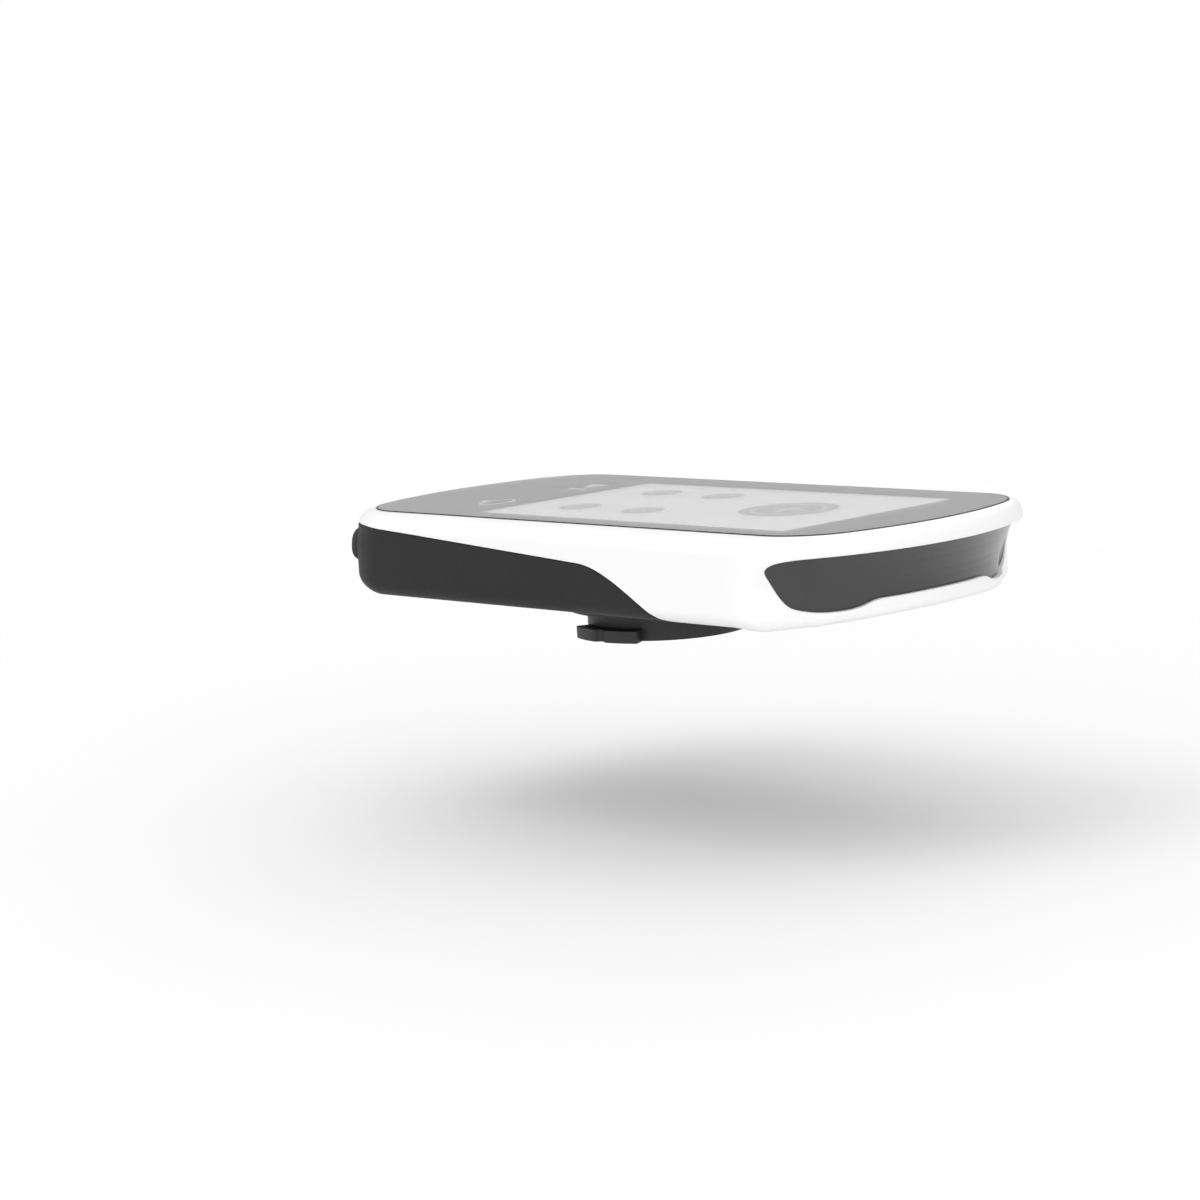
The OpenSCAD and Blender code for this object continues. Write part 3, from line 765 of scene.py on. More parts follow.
    def key(self, place: KeyPlace) -> bpy.types.Object:
        """A rubber button that bulges out of its slot.

        Args:
            place: Where it stands.

        Returns:
            The button.
        """
        s = self.form.along(self.form.rider_column)
        order = np.argsort(s)
        a = np.linspace(place.middle - place.length / 2 - 0.2, place.middle + place.length / 2 + 0.2, 90)
        column = np.interp(a, s[order], np.arange(len(s)))
        d1 = np.linspace(place.depth - place.height / 2 - 0.15, place.depth + place.height / 2 + 0.15, 38)
        d = d1[None, :] + np.zeros((len(a), 1))
        across = np.abs(a - place.middle)[:, None] + np.zeros_like(d)
        inside = rounded_box(across, d - place.depth, place.length, place.height, 1.1)
        rise = np.sqrt(np.clip(1 - (1 - np.clip(inside / 2.3, 0, 1)) ** 2, 0, 1))
        lift = -0.3 + (place.proud + 0.3) * rise
        whole = np.zeros((len(s), len(d1))) + d1
        facing = np.unwrap(self.form.facing()[order])
        wall = self.form.wall_at(whole)[order]
        lo = np.clip(np.floor(column).astype(int), 0, len(s) - 2)
        f = (column - lo)[:, None, None]
        grid = wall[lo] * (1 - f) + wall[lo + 1] * f
        n = facing[lo] * (1 - f[:, 0, 0]) + facing[lo + 1] * f[:, 0, 0]
        grid[..., 0] += np.cos(n)[:, None] * lift
        grid[..., 1] += np.sin(n)[:, None] * lift
        skin = clip(grid, inside, np.full(d.shape, 2.2), closed=False, snap=0.3)
        points, faces = skin.shell(0.04)
        return make_mesh(place.piece, to_row(points), faces, 55)


@dataclass
class Front:
    """Touch glass, the print behind its border and the touch marks printed on it."""

    form: BodyForm
    lit_w: float = 38.9
    lit_l: float = 66.5
    lit_y: float = 6.7

    def glass(self) -> bpy.types.Object:
        """Clear cover glass with a softened edge."""
        points, faces = slab_of(self.form.glass(0.0), 0.0, 1.07, 0.1)
        return make_mesh("cover_glass", to_row(points), faces, 20)

    def border(self) -> bpy.types.Object:
        """Dark print round the lit area, the adhesive frame below it and the bead round the glass."""
        def same_count(w: float, l: float, outer: np.ndarray) -> np.ndarray:
            """A rectangle with as many corners as an outline, one on each ray from the middle."""
            p = outer - [0, self.lit_y]
            k = np.minimum(w / 2 / np.maximum(np.abs(p[:, 0]), 1e-6),
                           l / 2 / np.maximum(np.abs(p[:, 1]), 1e-6))
            q = p * k[:, None]
            for cx in (-1, 1):
                for cy in (-1, 1):
                    c = np.array([cx * w / 2, cy * l / 2])
                    q[np.argmin(np.linalg.norm(q - c, axis=1))] = c
            return q + [0, self.lit_y]

        outer = self.form.glass(-0.12)
        printed = slab_of(outer, 1.075, 1.095, 0, same_count(self.lit_w, self.lit_l, outer))
        frame_ = slab_of(self.form.glass(-0.3), 1.1, 1.49, 0,
                         same_count(self.lit_w + 4.6, self.lit_l + 4.6, outer))
        bead = slab_of(self.form.glass(0.08), 0.03, 1.3, 0, self.form.glass(0.02))
        points, faces = join_parts([printed, frame_, bead])
        return make_mesh("glass_border_print", to_row(points), faces, 30)

    def marks(self) -> bpy.types.Object:
        """Plain touch marks printed on the rider's end of the border: a loop and a triangle."""
        top, bottom = 1.066, 1.0745
        parts = []
        loop, middle = circle_outline(0, 0, 2.85, 40), [9.4, -31.9]
        parts.append(slab_of(loop * [1.25, 0.8] + middle, top, bottom, 0, loop * [1.02, 0.57] + middle))
        parts.append(slab_of(np.array([[11.4, -34.9], [8.4, -33.5], [8.4, -36.0]])[::-1], top, bottom))
        parts.append(slab_of(np.array([[-13.6, -34.0], [-9.4, -31.9], [-13.6, -29.8]]), top, bottom))
        parts.append(slab_of(box_outline(-8.2, -31.9, 0.9, 4.0), top, bottom))
        points, faces = join_parts(parts)
        return make_mesh("touch_marks", to_row(points), faces, 30)


@dataclass
class WeatherCap:
    """Soft cap over the ports: flap, plug lip, grip ribs, the web it bends on and the fixed strip."""

    casing: Casing
    inner_d: float = 12.35
    web_w: float = 18.6

    def under(self) -> Callable[[float, float], float]:
        """Depth of the underside at a place, found by looking up at it from below."""
        grid = self.casing.points
        faces = sweep(grid, closed_rows=False)
        tree = BVHTree.FromPolygons([tuple(p) for p in grid.reshape(-1, 3)], faces)

        def depth(x: float, y: float) -> float:
            """Depth of the underside at one place."""
            hit = tree.ray_cast(Vector((x, y, 40)), Vector((0, 0, -1)))[0]
            return hit.z if hit else self.casing.form.side_h
        return depth

    def plate(self, name: str, x: np.ndarray, y: np.ndarray,
              keep: Callable[[np.ndarray, np.ndarray], np.ndarray], edge: float) -> bpy.types.Object:
        """A plate that follows the underside, cut out by a field.

        Args:
            name: Name of the piece.
            x: Places across.
            y: Places along.
            keep: Distance inside the wanted outline.
            edge: Radius of its rounded edges.

        Returns:
            The plate.
        """
        depth = self.under()
        gx, gy = np.meshgrid(x, y, indexing="ij")
        d = np.array([[depth(a, b) for b in y] for a in x])
        grid = np.stack([gx, gy, d], -1)
        skin = clip(grid, keep(gx, gy) - edge, d - self.inner_d, closed=False, snap=0.3)
        points, faces = skin.shell(edge)
        return make_mesh(name, to_row(points), faces, 50)

    def flap(self) -> bpy.types.Object:
        """The swinging flap with its plug lip."""
        c = self.casing
        x, y = np.linspace(-13.4, 13.4, 60), np.linspace(c.cap_y - 5.9, c.cap_y + 5.7, 30)
        plate = self.plate("weather_cap_flap", x, y, lambda a, b: c.cap_field(a, b, 0.0), 0.16)
        lip = slab_of(box_outline(0, c.cap_y, 21.2, 6.6, 1.2), self.inner_d - 0.6, self.inner_d + 0.15, 0.12,
                      box_outline(0, c.cap_y, 19.6, 5.0, 0.8))
        notch = slab_of(box_outline(0, c.cap_y - 4.1, 7.0, 0.7, 0.3), 13.0, 13.75, 0.15)
        points, faces = join_parts([lip, notch])
        more = make_mesh("weather_cap_lip", to_row(points), faces, 40)
        return merge([plate, more], "weather_cap_flap")

    def anchor(self) -> bpy.types.Object:
        """The fixed strip in front of the flap."""
        middle = self.casing.cap_y + self.casing.cap_l / 2 + 1.75
        x, y = np.linspace(-10.4, 10.4, 40), np.linspace(middle - 1.5, middle + 1.5, 14)
        return self.plate("weather_cap_anchor", x, y,
                          lambda a, b: rounded_box(a, b - middle, 20, 2.4, 0.5), 0.12)

    def web(self) -> bpy.types.Object:
        """The thin web that the flap bends on."""
        hinge = self.casing.cap_y + self.casing.cap_l / 2
        y = np.linspace(hinge - 0.9, hinge + 1.1, 21)
        depth = self.under()
        d = np.array([depth(0.0, v) for v in y]) - 0.15
        w = self.web_w / 2
        corners = ((-1, 0), (1, 0), (1, 0.45), (-1, 0.45))
        ring = [np.column_stack([np.full(len(y), s * w), y, d - t]) for s, t in corners]
        grid = np.stack(ring, 1)
        n = len(y)
        points = grid.reshape(-1, 3)
        faces = [[i * 4 + j, i * 4 + (j + 1) % 4, (i + 1) * 4 + (j + 1) % 4, (i + 1) * 4 + j]
                 for i in range(n - 1) for j in range(4)]
        faces += [[0, 3, 2, 1], [4 * n - 4, 4 * n - 3, 4 * n - 2, 4 * n - 1]]
        return make_mesh("weather_cap_web", to_row(points), faces, 40)


def merge(objects: Sequence[bpy.types.Object], name: str) -> bpy.types.Object:
    """Joins several objects into one piece.

    Args:
        objects: The objects, all at the origin.
        name: Name of the piece.

    Returns:
        The joined object.
    """
    bm = bmesh.new()
    for o in objects:
        bm.from_mesh(o.data)
    mesh = bpy.data.meshes.new(name)
    bm.to_mesh(mesh)
    bm.free()
    for o in objects:
        old = o.data
        bpy.data.objects.remove(o)
        bpy.data.meshes.remove(old)
    obj = bpy.data.objects.new(name, mesh)
    bpy.context.scene.collection.objects.link(obj)
    return obj


def softened_copy(node: str, name: str, width: float, segments: int = 2,
                  limit: float = 35) -> bpy.types.Object:
    """Copies a node of the part as one closed mesh and rounds its edges.

    Args:
        node: Name of the node.
        name: Name of the new piece.
        width: Width of the rounded edges, in millimetres.
        segments: Steps across each rounded edge.
        limit: Angle in degrees above which an edge is rounded.

    Returns:
        The new piece.
    """
    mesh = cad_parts[node].data.copy()
    mesh.name = name
    bm = bmesh.new()
    bm.from_mesh(mesh)
    bmesh.ops.remove_doubles(bm, verts=bm.verts, dist=2e-6)
    bmesh.ops.dissolve_limit(bm, angle_limit=math.radians(1), verts=bm.verts, edges=bm.edges)
    edges = [e for e in bm.edges if len(e.link_faces) == 2 and e.calc_face_angle(0) > math.radians(limit)]
    bmesh.ops.bevel(bm, geom=edges, offset=width * MM, segments=segments, profile=0.5, affect="EDGES",
                    clamp_overlap=True)
    bm.to_mesh(mesh)
    bm.free()
    return finish_mesh(name, mesh, 20)


class Spots:
    """Copies one shape onto points with Geometry Nodes."""

    def __init__(self) -> None:
        """Builds the node tree once."""
        tree = bpy.data.node_groups.new("Shape on points", "GeometryNodeTree")
        for title, kind in (("Geometry", "NodeSocketGeometry"), ("Shape", "NodeSocketObject"),
                            ("Size", "NodeSocketFloat"), ("Turn seed", "NodeSocketInt"),
                            ("Finish", "NodeSocketMaterial")):
            tree.interface.new_socket(title, in_out="INPUT", socket_type=kind)
        tree.interface.new_socket("Geometry", in_out="OUTPUT", socket_type="NodeSocketGeometry")
        n = tree.nodes
        start, end = n.new("NodeGroupInput"), n.new("NodeGroupOutput")
        info, place = n.new("GeometryNodeObjectInfo"), n.new("GeometryNodeInstanceOnPoints")
        turn, xyz = n.new("FunctionNodeRandomValue"), n.new("ShaderNodeCombineXYZ")
        real, paint = n.new("GeometryNodeRealizeInstances"), n.new("GeometryNodeSetMaterial")
        turn.data_type = "FLOAT"
        turn.inputs["Min"].default_value = 0.0
        turn.inputs["Max"].default_value = 2 * math.pi
        link = tree.links.new
        link(start.outputs["Geometry"], place.inputs["Points"])
        link(start.outputs["Shape"], info.inputs["Object"])
        link(info.outputs["Geometry"], place.inputs["Instance"])
        link(start.outputs["Size"], place.inputs["Scale"])
        link(start.outputs["Turn seed"], turn.inputs["Seed"])
        link(turn.outputs[1], xyz.inputs["Z"])
        link(xyz.outputs["Vector"], place.inputs["Rotation"])
        link(place.outputs["Instances"], real.inputs["Geometry"])
        link(real.outputs["Geometry"], paint.inputs["Geometry"])
        link(start.outputs["Finish"], paint.inputs["Material"])
        link(paint.outputs["Geometry"], end.inputs["Geometry"])
        self.tree = tree

    def copy_onto(self, name: str, shape: bpy.types.Object, spots: Sequence[tuple[float, float, float]],
                  finish: bpy.types.Material, seed: int) -> bpy.types.Object:
        """Copies a shape onto points as one plain mesh.

        Args:
            name: Name of the piece.
            shape: The shape, about the origin. It is removed afterwards.
            spots: Places in metres.
            finish: Material of the copies.
            seed: Seed for how each copy is turned.

        Returns:
            The piece.
        """
        holder = bpy.data.meshes.new(name + "_points")
        holder.from_pydata([tuple(s) for s in spots], [], [])
        obj = bpy.data.objects.new(name + "_points", holder)
        bpy.context.scene.collection.objects.link(obj)
        mod = obj.modifiers.new("Spots", "NODES")
        mod.node_group = self.tree
        ids = {s.name: s.identifier for s in self.tree.interface.items_tree if s.in_out == "INPUT"}
        mod[ids["Shape"]], mod[ids["Size"]] = shape, 1.0
        mod[ids["Turn seed"]], mod[ids["Finish"]] = seed, finish
        graph = bpy.context.evaluated_depsgraph_get()
        mesh = bpy.data.meshes.new_from_object(obj.evaluated_get(graph))
        mesh.name = name
        bpy.data.objects.remove(obj)
        bpy.data.objects.remove(shape)
        return finish_mesh(name, mesh, 35)


@dataclass(frozen=True)
class SocketScrew:
    """A small cap screw seen from its head, pointing up, with a hexagon socket."""

    head_r: float
    head_h: float
    socket_r: float
    socket_h: float
    shank_r: float
    shank_l: float
    edge: float = 0.12

    def shape(self) -> bpy.types.Object:
        """The screw about the origin, its head's outer face at z = 0."""
        steps = 48
        a = np.arange(steps) / steps * 2 * np.pi
        side = np.cos(np.pi / 6) / np.cos((a + np.pi / 6) % (np.pi / 3) - np.pi / 6)
        e, r, s = self.edge, self.head_r, self.socket_r
        rows: list[tuple[np.ndarray | float, float]] = [
            (0.02 * side, self.socket_h + 0.1), (s * side, self.socket_h), (s * side, e * 0.6),
            (s * side + e * 0.5, 0.0), (r - e, 0.0), (r - 0.3 * e, 0.3 * e), (r, e),
            (r, self.head_h - e * 0.5), (r - e * 0.5, self.head_h),
            (self.shank_r, self.head_h), (self.shank_r, self.head_h + self.shank_l),
            (self.shank_r * 0.7, self.head_h + self.shank_l + 0.2), (0.02, self.head_h + self.shank_l + 0.2)]
        rings = [np.column_stack([rr * np.cos(a), rr * np.sin(a), np.full(steps, z)]) for rr, z in rows]
        grid = np.stack(rings, 1)
        n, m = grid.shape[:2]
        points = grid.reshape(-1, 3) * MM
        ends = [[i * m for i in range(n)], [i * m + m - 1 for i in reversed(range(n))]]
        faces = sweep(grid, closed_rows=False) + ends
        return make_mesh("screw_shape", points, faces, 35)


class Graph:
    """Short hand for building a node tree."""

    def __init__(self, tree: bpy.types.NodeTree) -> None:
        """Keeps the tree that nodes are added to."""
        self.tree = tree

    def node(self, kind: str, settings: dict | None = None, **values: object) -> bpy.types.Node:
        """Adds a node.

        Args:
            kind: Type of the node.
            settings: Attributes of the node.
            values: Input values or linked sockets, by input name with _ for a space, or in_N for input N.

        Returns:
            The node.
        """
        n = self.tree.nodes.new(kind)
        for k, v in (settings or {}).items():
            setattr(n, k, v)
        for k, v in values.items():
            socket = n.inputs[int(k[3:])] if k.startswith("in_") else n.inputs[k.replace("_", " ")]
            if isinstance(v, bpy.types.NodeSocket):
                self.tree.links.new(v, socket)
            else:
                socket.default_value = v
        return n

    def group(self, tree: bpy.types.NodeTree, **values: object) -> bpy.types.Node:
        """Adds a node group with its input values or linked sockets."""
        return self.node("ShaderNodeGroup", {"node_tree": tree}, **values)

    def math(self, operation: str, a: object, b: object = 0.0, c: object = 0.0) -> bpy.types.NodeSocket:
        """Adds a math node and gives its result."""
        return self.node("ShaderNodeMath", {"operation": operation}, in_0=a, in_1=b, in_2=c).outputs[0]

    def mix(self, share: object, a: object, b: object) -> bpy.types.NodeSocket:
        """Mixes two colours."""
        return self.node("ShaderNodeMix", {"data_type": "RGBA"}, in_0=share, in_6=a, in_7=b).outputs[2]


def grey(v: float, warm: float = 0.0) -> tuple[float, float, float, float]:
    """A grey with a touch of warmth."""
    return (v * (1 + warm), v, v * (1 - warm), 1.0)


class Effects:
    """Node groups that several finishes use."""

    def __init__(self) -> None:
        """Builds each group once."""
        self.grain = self._grain()
        self.wear = self._wear()
        self.disc = self._disc()
        self.bar = self._bar()

    @staticmethod
    def _group(name: str, inputs: Sequence[tuple[str, str, object]], outputs: Sequence[tuple[str, str]]
               ) -> tuple[bpy.types.NodeTree, Graph, bpy.types.Node, bpy.types.Node]:
        """Starts a shader group with named sockets."""
        tree = bpy.data.node_groups.new(name, "ShaderNodeTree")
        for title, kind, value in inputs:
            s = tree.interface.new_socket(title, in_out="INPUT", socket_type=kind)
            if value is not None:
                s.default_value = value
        for title, kind in outputs:
            tree.interface.new_socket(title, in_out="OUTPUT", socket_type=kind)
        g = Graph(tree)
        return tree, g, g.node("NodeGroupInput"), g.node("NodeGroupOutput")

    def _grain(self) -> bpy.types.NodeTree:
        """Moulded grain: a height and a slow mottle."""
        tree, g, start, end = self._group(
            "Moulded grain", [("Vector", "NodeSocketVector", None), ("Scale", "NodeSocketFloat", 5000.0),
                              ("Coarse", "NodeSocketFloat", 90.0)],
            [("Height", "NodeSocketFloat"), ("Mottle", "NodeSocketFloat")])
        place, scale, coarse = (start.outputs[k] for k in ("Vector", "Scale", "Coarse"))
        fine = g.node("ShaderNodeTexNoise", Vector=place, Scale=scale, Detail=3.0, Roughness=0.6)
        cells = g.node("ShaderNodeTexVoronoi", Vector=place, Scale=scale)
        slow = g.node("ShaderNodeTexNoise", Vector=place, Scale=coarse, Detail=4.0, Roughness=0.55)
        height = g.math("MULTIPLY_ADD", cells.outputs["Distance"], 0.6, fine.outputs["Fac"])
        tree.links.new(height, end.inputs["Height"])
        tree.links.new(slow.outputs["Fac"], end.inputs["Mottle"])
        return tree

    def _wear(self) -> bpy.types.NodeTree:
        """Fine handling marks: thin scratches and smudges."""
        tree, g, start, end = self._group(
            "Handling marks", [("Vector", "NodeSocketVector", None), ("Scale", "NodeSocketFloat", 60.0)],
            [("Scratches", "NodeSocketFloat"), ("Smudges", "NodeSocketFloat")])
        place, scale = start.outputs["Vector"], start.outputs["Scale"]
        bend = g.node("ShaderNodeTexNoise", Vector=place, Scale=scale, Detail=2.0)
        stretch = g.node("ShaderNodeMapping", Vector=place, Scale=(1.0, 14.0, 1.0), Rotation=(0.0, 0.0, 0.6))
        lines = g.node("ShaderNodeTexNoise", Vector=stretch.outputs[0],
                       Scale=g.math("MULTIPLY", scale, 8.0), Detail=2.0, Distortion=0.4)
        thin = g.node("ShaderNodeMapRange", {"interpolation_type": "SMOOTHSTEP"}, Value=lines.outputs["Fac"],
                      From_Min=0.66, From_Max=0.72)
        soft = g.node("ShaderNodeMapRange", {"interpolation_type": "SMOOTHSTEP"}, Value=bend.outputs["Fac"],
                      From_Min=0.42, From_Max=0.7)
        tree.links.new(thin.outputs[0], end.inputs["Scratches"])
        tree.links.new(soft.outputs[0], end.inputs["Smudges"])
        return tree

    def _disc(self) -> bpy.types.NodeTree:
        """Ring or disc mark about a middle."""
        tree, g, start, end = self._group(
            "Disc mark", [("Vector", "NodeSocketVector", None), ("Centre", "NodeSocketVector", None),
                          ("Outer", "NodeSocketFloat", 0.003), ("Inner", "NodeSocketFloat", -1.0)],
            [("Mask", "NodeSocketFloat")])
        flat = g.node("ShaderNodeVectorMath", {"operation": "MULTIPLY"},
                      in_0=start.outputs["Vector"], in_1=(1.0, 1.0, 0.0))
        away = g.node("ShaderNodeVectorMath", {"operation": "DISTANCE"},
                      in_0=flat.outputs[0], in_1=start.outputs["Centre"])
        inside = g.math("LESS_THAN", away.outputs["Value"], start.outputs["Outer"])
        outside = g.math("GREATER_THAN", away.outputs["Value"], start.outputs["Inner"])
        tree.links.new(g.math("MULTIPLY", inside, outside), end.inputs["Mask"])
        return tree

    def _bar(self) -> bpy.types.NodeTree:
        """Rectangle mark about a middle."""
        tree, g, start, end = self._group(
            "Bar mark", [("Vector", "NodeSocketVector", None), ("Centre", "NodeSocketVector", None),
                         ("Half size", "NodeSocketVector", None)], [("Mask", "NodeSocketFloat")])
        away = g.node("ShaderNodeVectorMath", {"operation": "SUBTRACT"},
                      in_0=start.outputs["Vector"], in_1=start.outputs["Centre"])
        size = g.node("ShaderNodeVectorMath", {"operation": "ABSOLUTE"}, in_0=away.outputs[0])
        p = g.node("ShaderNodeSeparateXYZ", Vector=size.outputs[0])
        h = g.node("ShaderNodeSeparateXYZ", Vector=start.outputs["Half size"])
        tree.links.new(g.math("MULTIPLY", g.math("LESS_THAN", p.outputs[0], h.outputs[0]),
                              g.math("LESS_THAN", p.outputs[1], h.outputs[1])), end.inputs["Mask"])
        return tree


@dataclass(frozen=True)
class Finish:
    """A moulded, printed or metal finish: a colour with slow mottle, grain as relief, and handling marks."""

    name: str
    colour: tuple[float, float, float, float]
    roughness: float
    metallic: float = 0.0
    grain: float = 4000.0
    relief: float = 0.05
    mottle: float = 0.08
    marks: float = 0.03
    coat: float = 0.0
    coat_roughness: float = 0.05
    specular: float = 0.5
    spread: float = 0.05

    def build(self, effects: Effects) -> bpy.types.Material:
        """Makes the material.

        Args:
            effects: The shared node groups.

        Returns:
            The material.
        """
        mat, g, shader = start_material(self.name)
        place = g.node("ShaderNodeTexCoord").outputs["Object"]
        grain = g.group(effects.grain, Vector=place, Scale=self.grain, Coarse=130.0)
        marks = g.group(effects.wear, Vector=place, Scale=55.0)
        dark = tuple(c * (1 - self.mottle) for c in self.colour[:3]) + (1.0,)
        light = tuple(min(1.0, c * (1 + self.mottle)) for c in self.colour[:3]) + (1.0,)
        body = g.mix(grain.outputs["Mottle"], dark, light)
        scuffed = tuple(min(1.0, c * 0.9 + 0.05) for c in self.colour[:3]) + (1.0,)
        body = g.mix(g.math("MULTIPLY", marks.outputs["Scratches"], self.marks), body, scuffed)
        g.tree.links.new(body, shader.inputs["Base Color"])
        rough = g.math("MULTIPLY_ADD", marks.outputs["Smudges"], self.spread, self.roughness)
        rough = g.math("MULTIPLY_ADD", grain.outputs["Mottle"], self.spread, rough)
        g.tree.links.new(rough, shader.inputs["Roughness"])
        bump = g.node("ShaderNodeBump", Strength=1.0, Distance=self.relief * MM,
                      Height=grain.outputs["Height"])
        g.tree.links.new(bump.outputs[0], shader.inputs["Normal"])
        shader.inputs["Metallic"].default_value = self.metallic
        shader.inputs["Coat Weight"].default_value = self.coat
        shader.inputs["Coat Roughness"].default_value = self.coat_roughness
        shader.inputs["Specular IOR Level"].default_value = self.specular
        return mat


def start_material(name: str) -> tuple[bpy.types.Material, Graph, bpy.types.Node]:
    """A new material with its shader joined to the output."""
    mat = bpy.data.materials.new(name)
    mat.use_nodes = True
    g = Graph(mat.node_tree)
    return mat, g, mat.node_tree.nodes["Principled BSDF"]


@dataclass(frozen=True)
class GlassFinish:
    """Clear glass with faint finger smudges."""

    name: str = "cover glass"
    roughness: float = 0.001
    smudge: float = 0.004
    ior: float = 1.46

    def build(self, effects: Effects) -> bpy.types.Material:
        """Makes the material from the shared node groups."""
        mat, g, shader = start_material(self.name)
        place = g.node("ShaderNodeTexCoord").outputs["Object"]
        marks = g.group(effects.wear, Vector=place, Scale=70.0)
        rough = g.math("MULTIPLY_ADD", marks.outputs["Smudges"], self.smudge, self.roughness)
        g.tree.links.new(rough, shader.inputs["Roughness"])
        g.tree.links.new(g.mix(marks.outputs["Smudges"], grey(1.0), grey(0.985)), shader.inputs["Base Color"])
        shader.inputs["Transmission Weight"].default_value = 1.0
        shader.inputs["IOR"].default_value = self.ior
        return mat


@dataclass(frozen=True)
class FilmFinish:
    """Clear film with a faint grid of sense lines."""

    name: str = "sensor film"
    pitch: float = 4.6
    line: float = 0.00004

    def build(self, effects: Effects) -> bpy.types.Material:
        """Makes the material from the shared node groups."""
        mat, g, shader = start_material(self.name)
        place = g.node("ShaderNodeTexCoord").outputs["Object"]
        p = g.node("ShaderNodeSeparateXYZ", Vector=place)
        lines = [g.math("LESS_THAN", g.math("PINGPONG", p.outputs[k], self.pitch * MM / 2), self.line)
                 for k in (0, 1)]
        marks = g.group(effects.grain, Vector=place, Scale=900.0, Coarse=150.0)
        grid = g.math("MAXIMUM", *lines)
        faint = g.math("MULTIPLY", marks.outputs["Mottle"], 0.02)
        g.tree.links.new(g.math("MULTIPLY_ADD", grid, 0.02, faint), shader.inputs["Alpha"])
        g.tree.links.new(g.mix(marks.outputs["Mottle"], grey(0.7), grey(0.8)), shader.inputs["Base Color"])
        shader.inputs["Roughness"].default_value = 0.3
        return mat


@dataclass(frozen=True)
class PictureFinish:
    """What the display shows: plain discs, rings and bars on a pale ground inside a black edge, made to glow
    as painted light.
    """

    lit_w: float
    lit_l: float
    lit_y: float
    name: str = "display picture"
    ground: float = 0.62
    # Strength of the picture's glow: painted light that brightens the display, not a lamp.
    painted_glow: float = 1.0

    def build(self, effects: Effects) -> bpy.types.Material:
        """Makes the material from the shared node groups."""
        mat, g, shader = start_material(self.name)
        place = g.node("ShaderNodeTexCoord").outputs["Object"]

        def disc(x: float, y: float, outer: float, inner: float = -1000.0) -> bpy.types.NodeSocket:
            """Mask of a disc or ring."""
            return g.group(effects.disc, Vector=place, Centre=(x * MM, (y + MID_Y) * MM, 0.0),
                           Outer=outer * MM, Inner=inner * MM).outputs[0]

        def bar(x: float, y: float, w: float, l: float) -> bpy.types.NodeSocket:
            """Mask of a bar."""
            return g.group(effects.bar, Vector=place, Centre=(x * MM, (y + MID_Y) * MM, 0.0),
                           Half_size=(w / 2 * MM, l / 2 * MM, 1.0)).outputs[0]

        def either(masks: Sequence[bpy.types.NodeSocket]) -> bpy.types.NodeSocket:
            """One mask from several."""
            total = masks[0]
            for m in masks[1:]:
                total = g.math("MAXIMUM", total, m)
            return total

        small = [(7.3, -15.0), (7.3, -0.9), (-10.4, -14.5), (-10.4, -0.9)]
        discs = either([disc(x, y, 3.45) for x, y in small] + [disc(-1.4, 21.6, 7.7)])
        rings = either([disc(x, y, 2.1, 1.5) for x, y in small]
                       + [disc(-1.4, 21.6, 5.9, 5.2), bar(-1.4, 21.6, 1.2, 6.4), bar(-1.4, 21.6, 6.4, 1.2)])
        dots = either([disc(x, y, 0.45) for x, y in small])
        lines = either([bar(x, y + 5.4, 5.2, 0.35) for x, y in small]
                       + [bar(x, y - 5.2, 3.6, 0.3) for x, y in small] + [bar(-1.4, 11.4, 9.0, 0.35)])
        signs = ((-15.0, 4.2), (-10.0, 1.8), (-7.0, 1.8), (11.0, 3.0), (15.6, 3.4))
        status = either([bar(x, 39.1, w, 0.9) for x, w in signs])
        strip = bar(0, 39.2, self.lit_w + 2, 1.8)
        lit = bar(0, self.lit_y, self.lit_w, self.lit_l)
        colour = g.mix(lines, grey(self.ground), grey(self.ground * 0.6))
        colour = g.mix(discs, colour, grey(self.ground * 0.36))
        colour = g.mix(rings, colour, grey(self.ground * 0.72))
        colour = g.mix(dots, colour, grey(self.ground * 0.72))
        colour = g.mix(strip, colour, grey(0.015))
        colour = g.mix(status, colour, grey(0.45))
        colour = g.mix(lit, grey(0.012), colour)
        grain = g.group(effects.grain, Vector=place, Scale=2500.0, Coarse=60.0)
        colour = g.mix(g.math("MULTIPLY", grain.outputs["Mottle"], 0.05), colour, grey(0.3))
        g.tree.links.new(colour, shader.inputs["Base Color"])
        # Painted light: the picture glows in its own colour, standing in for the daylight that the display
        # gives back under the glass.
        g.tree.links.new(colour, shader.inputs["Emission Color"])
        shader.inputs["Emission Strength"].default_value = self.painted_glow
        shader.inputs["Roughness"].default_value = 0.5
        return mat


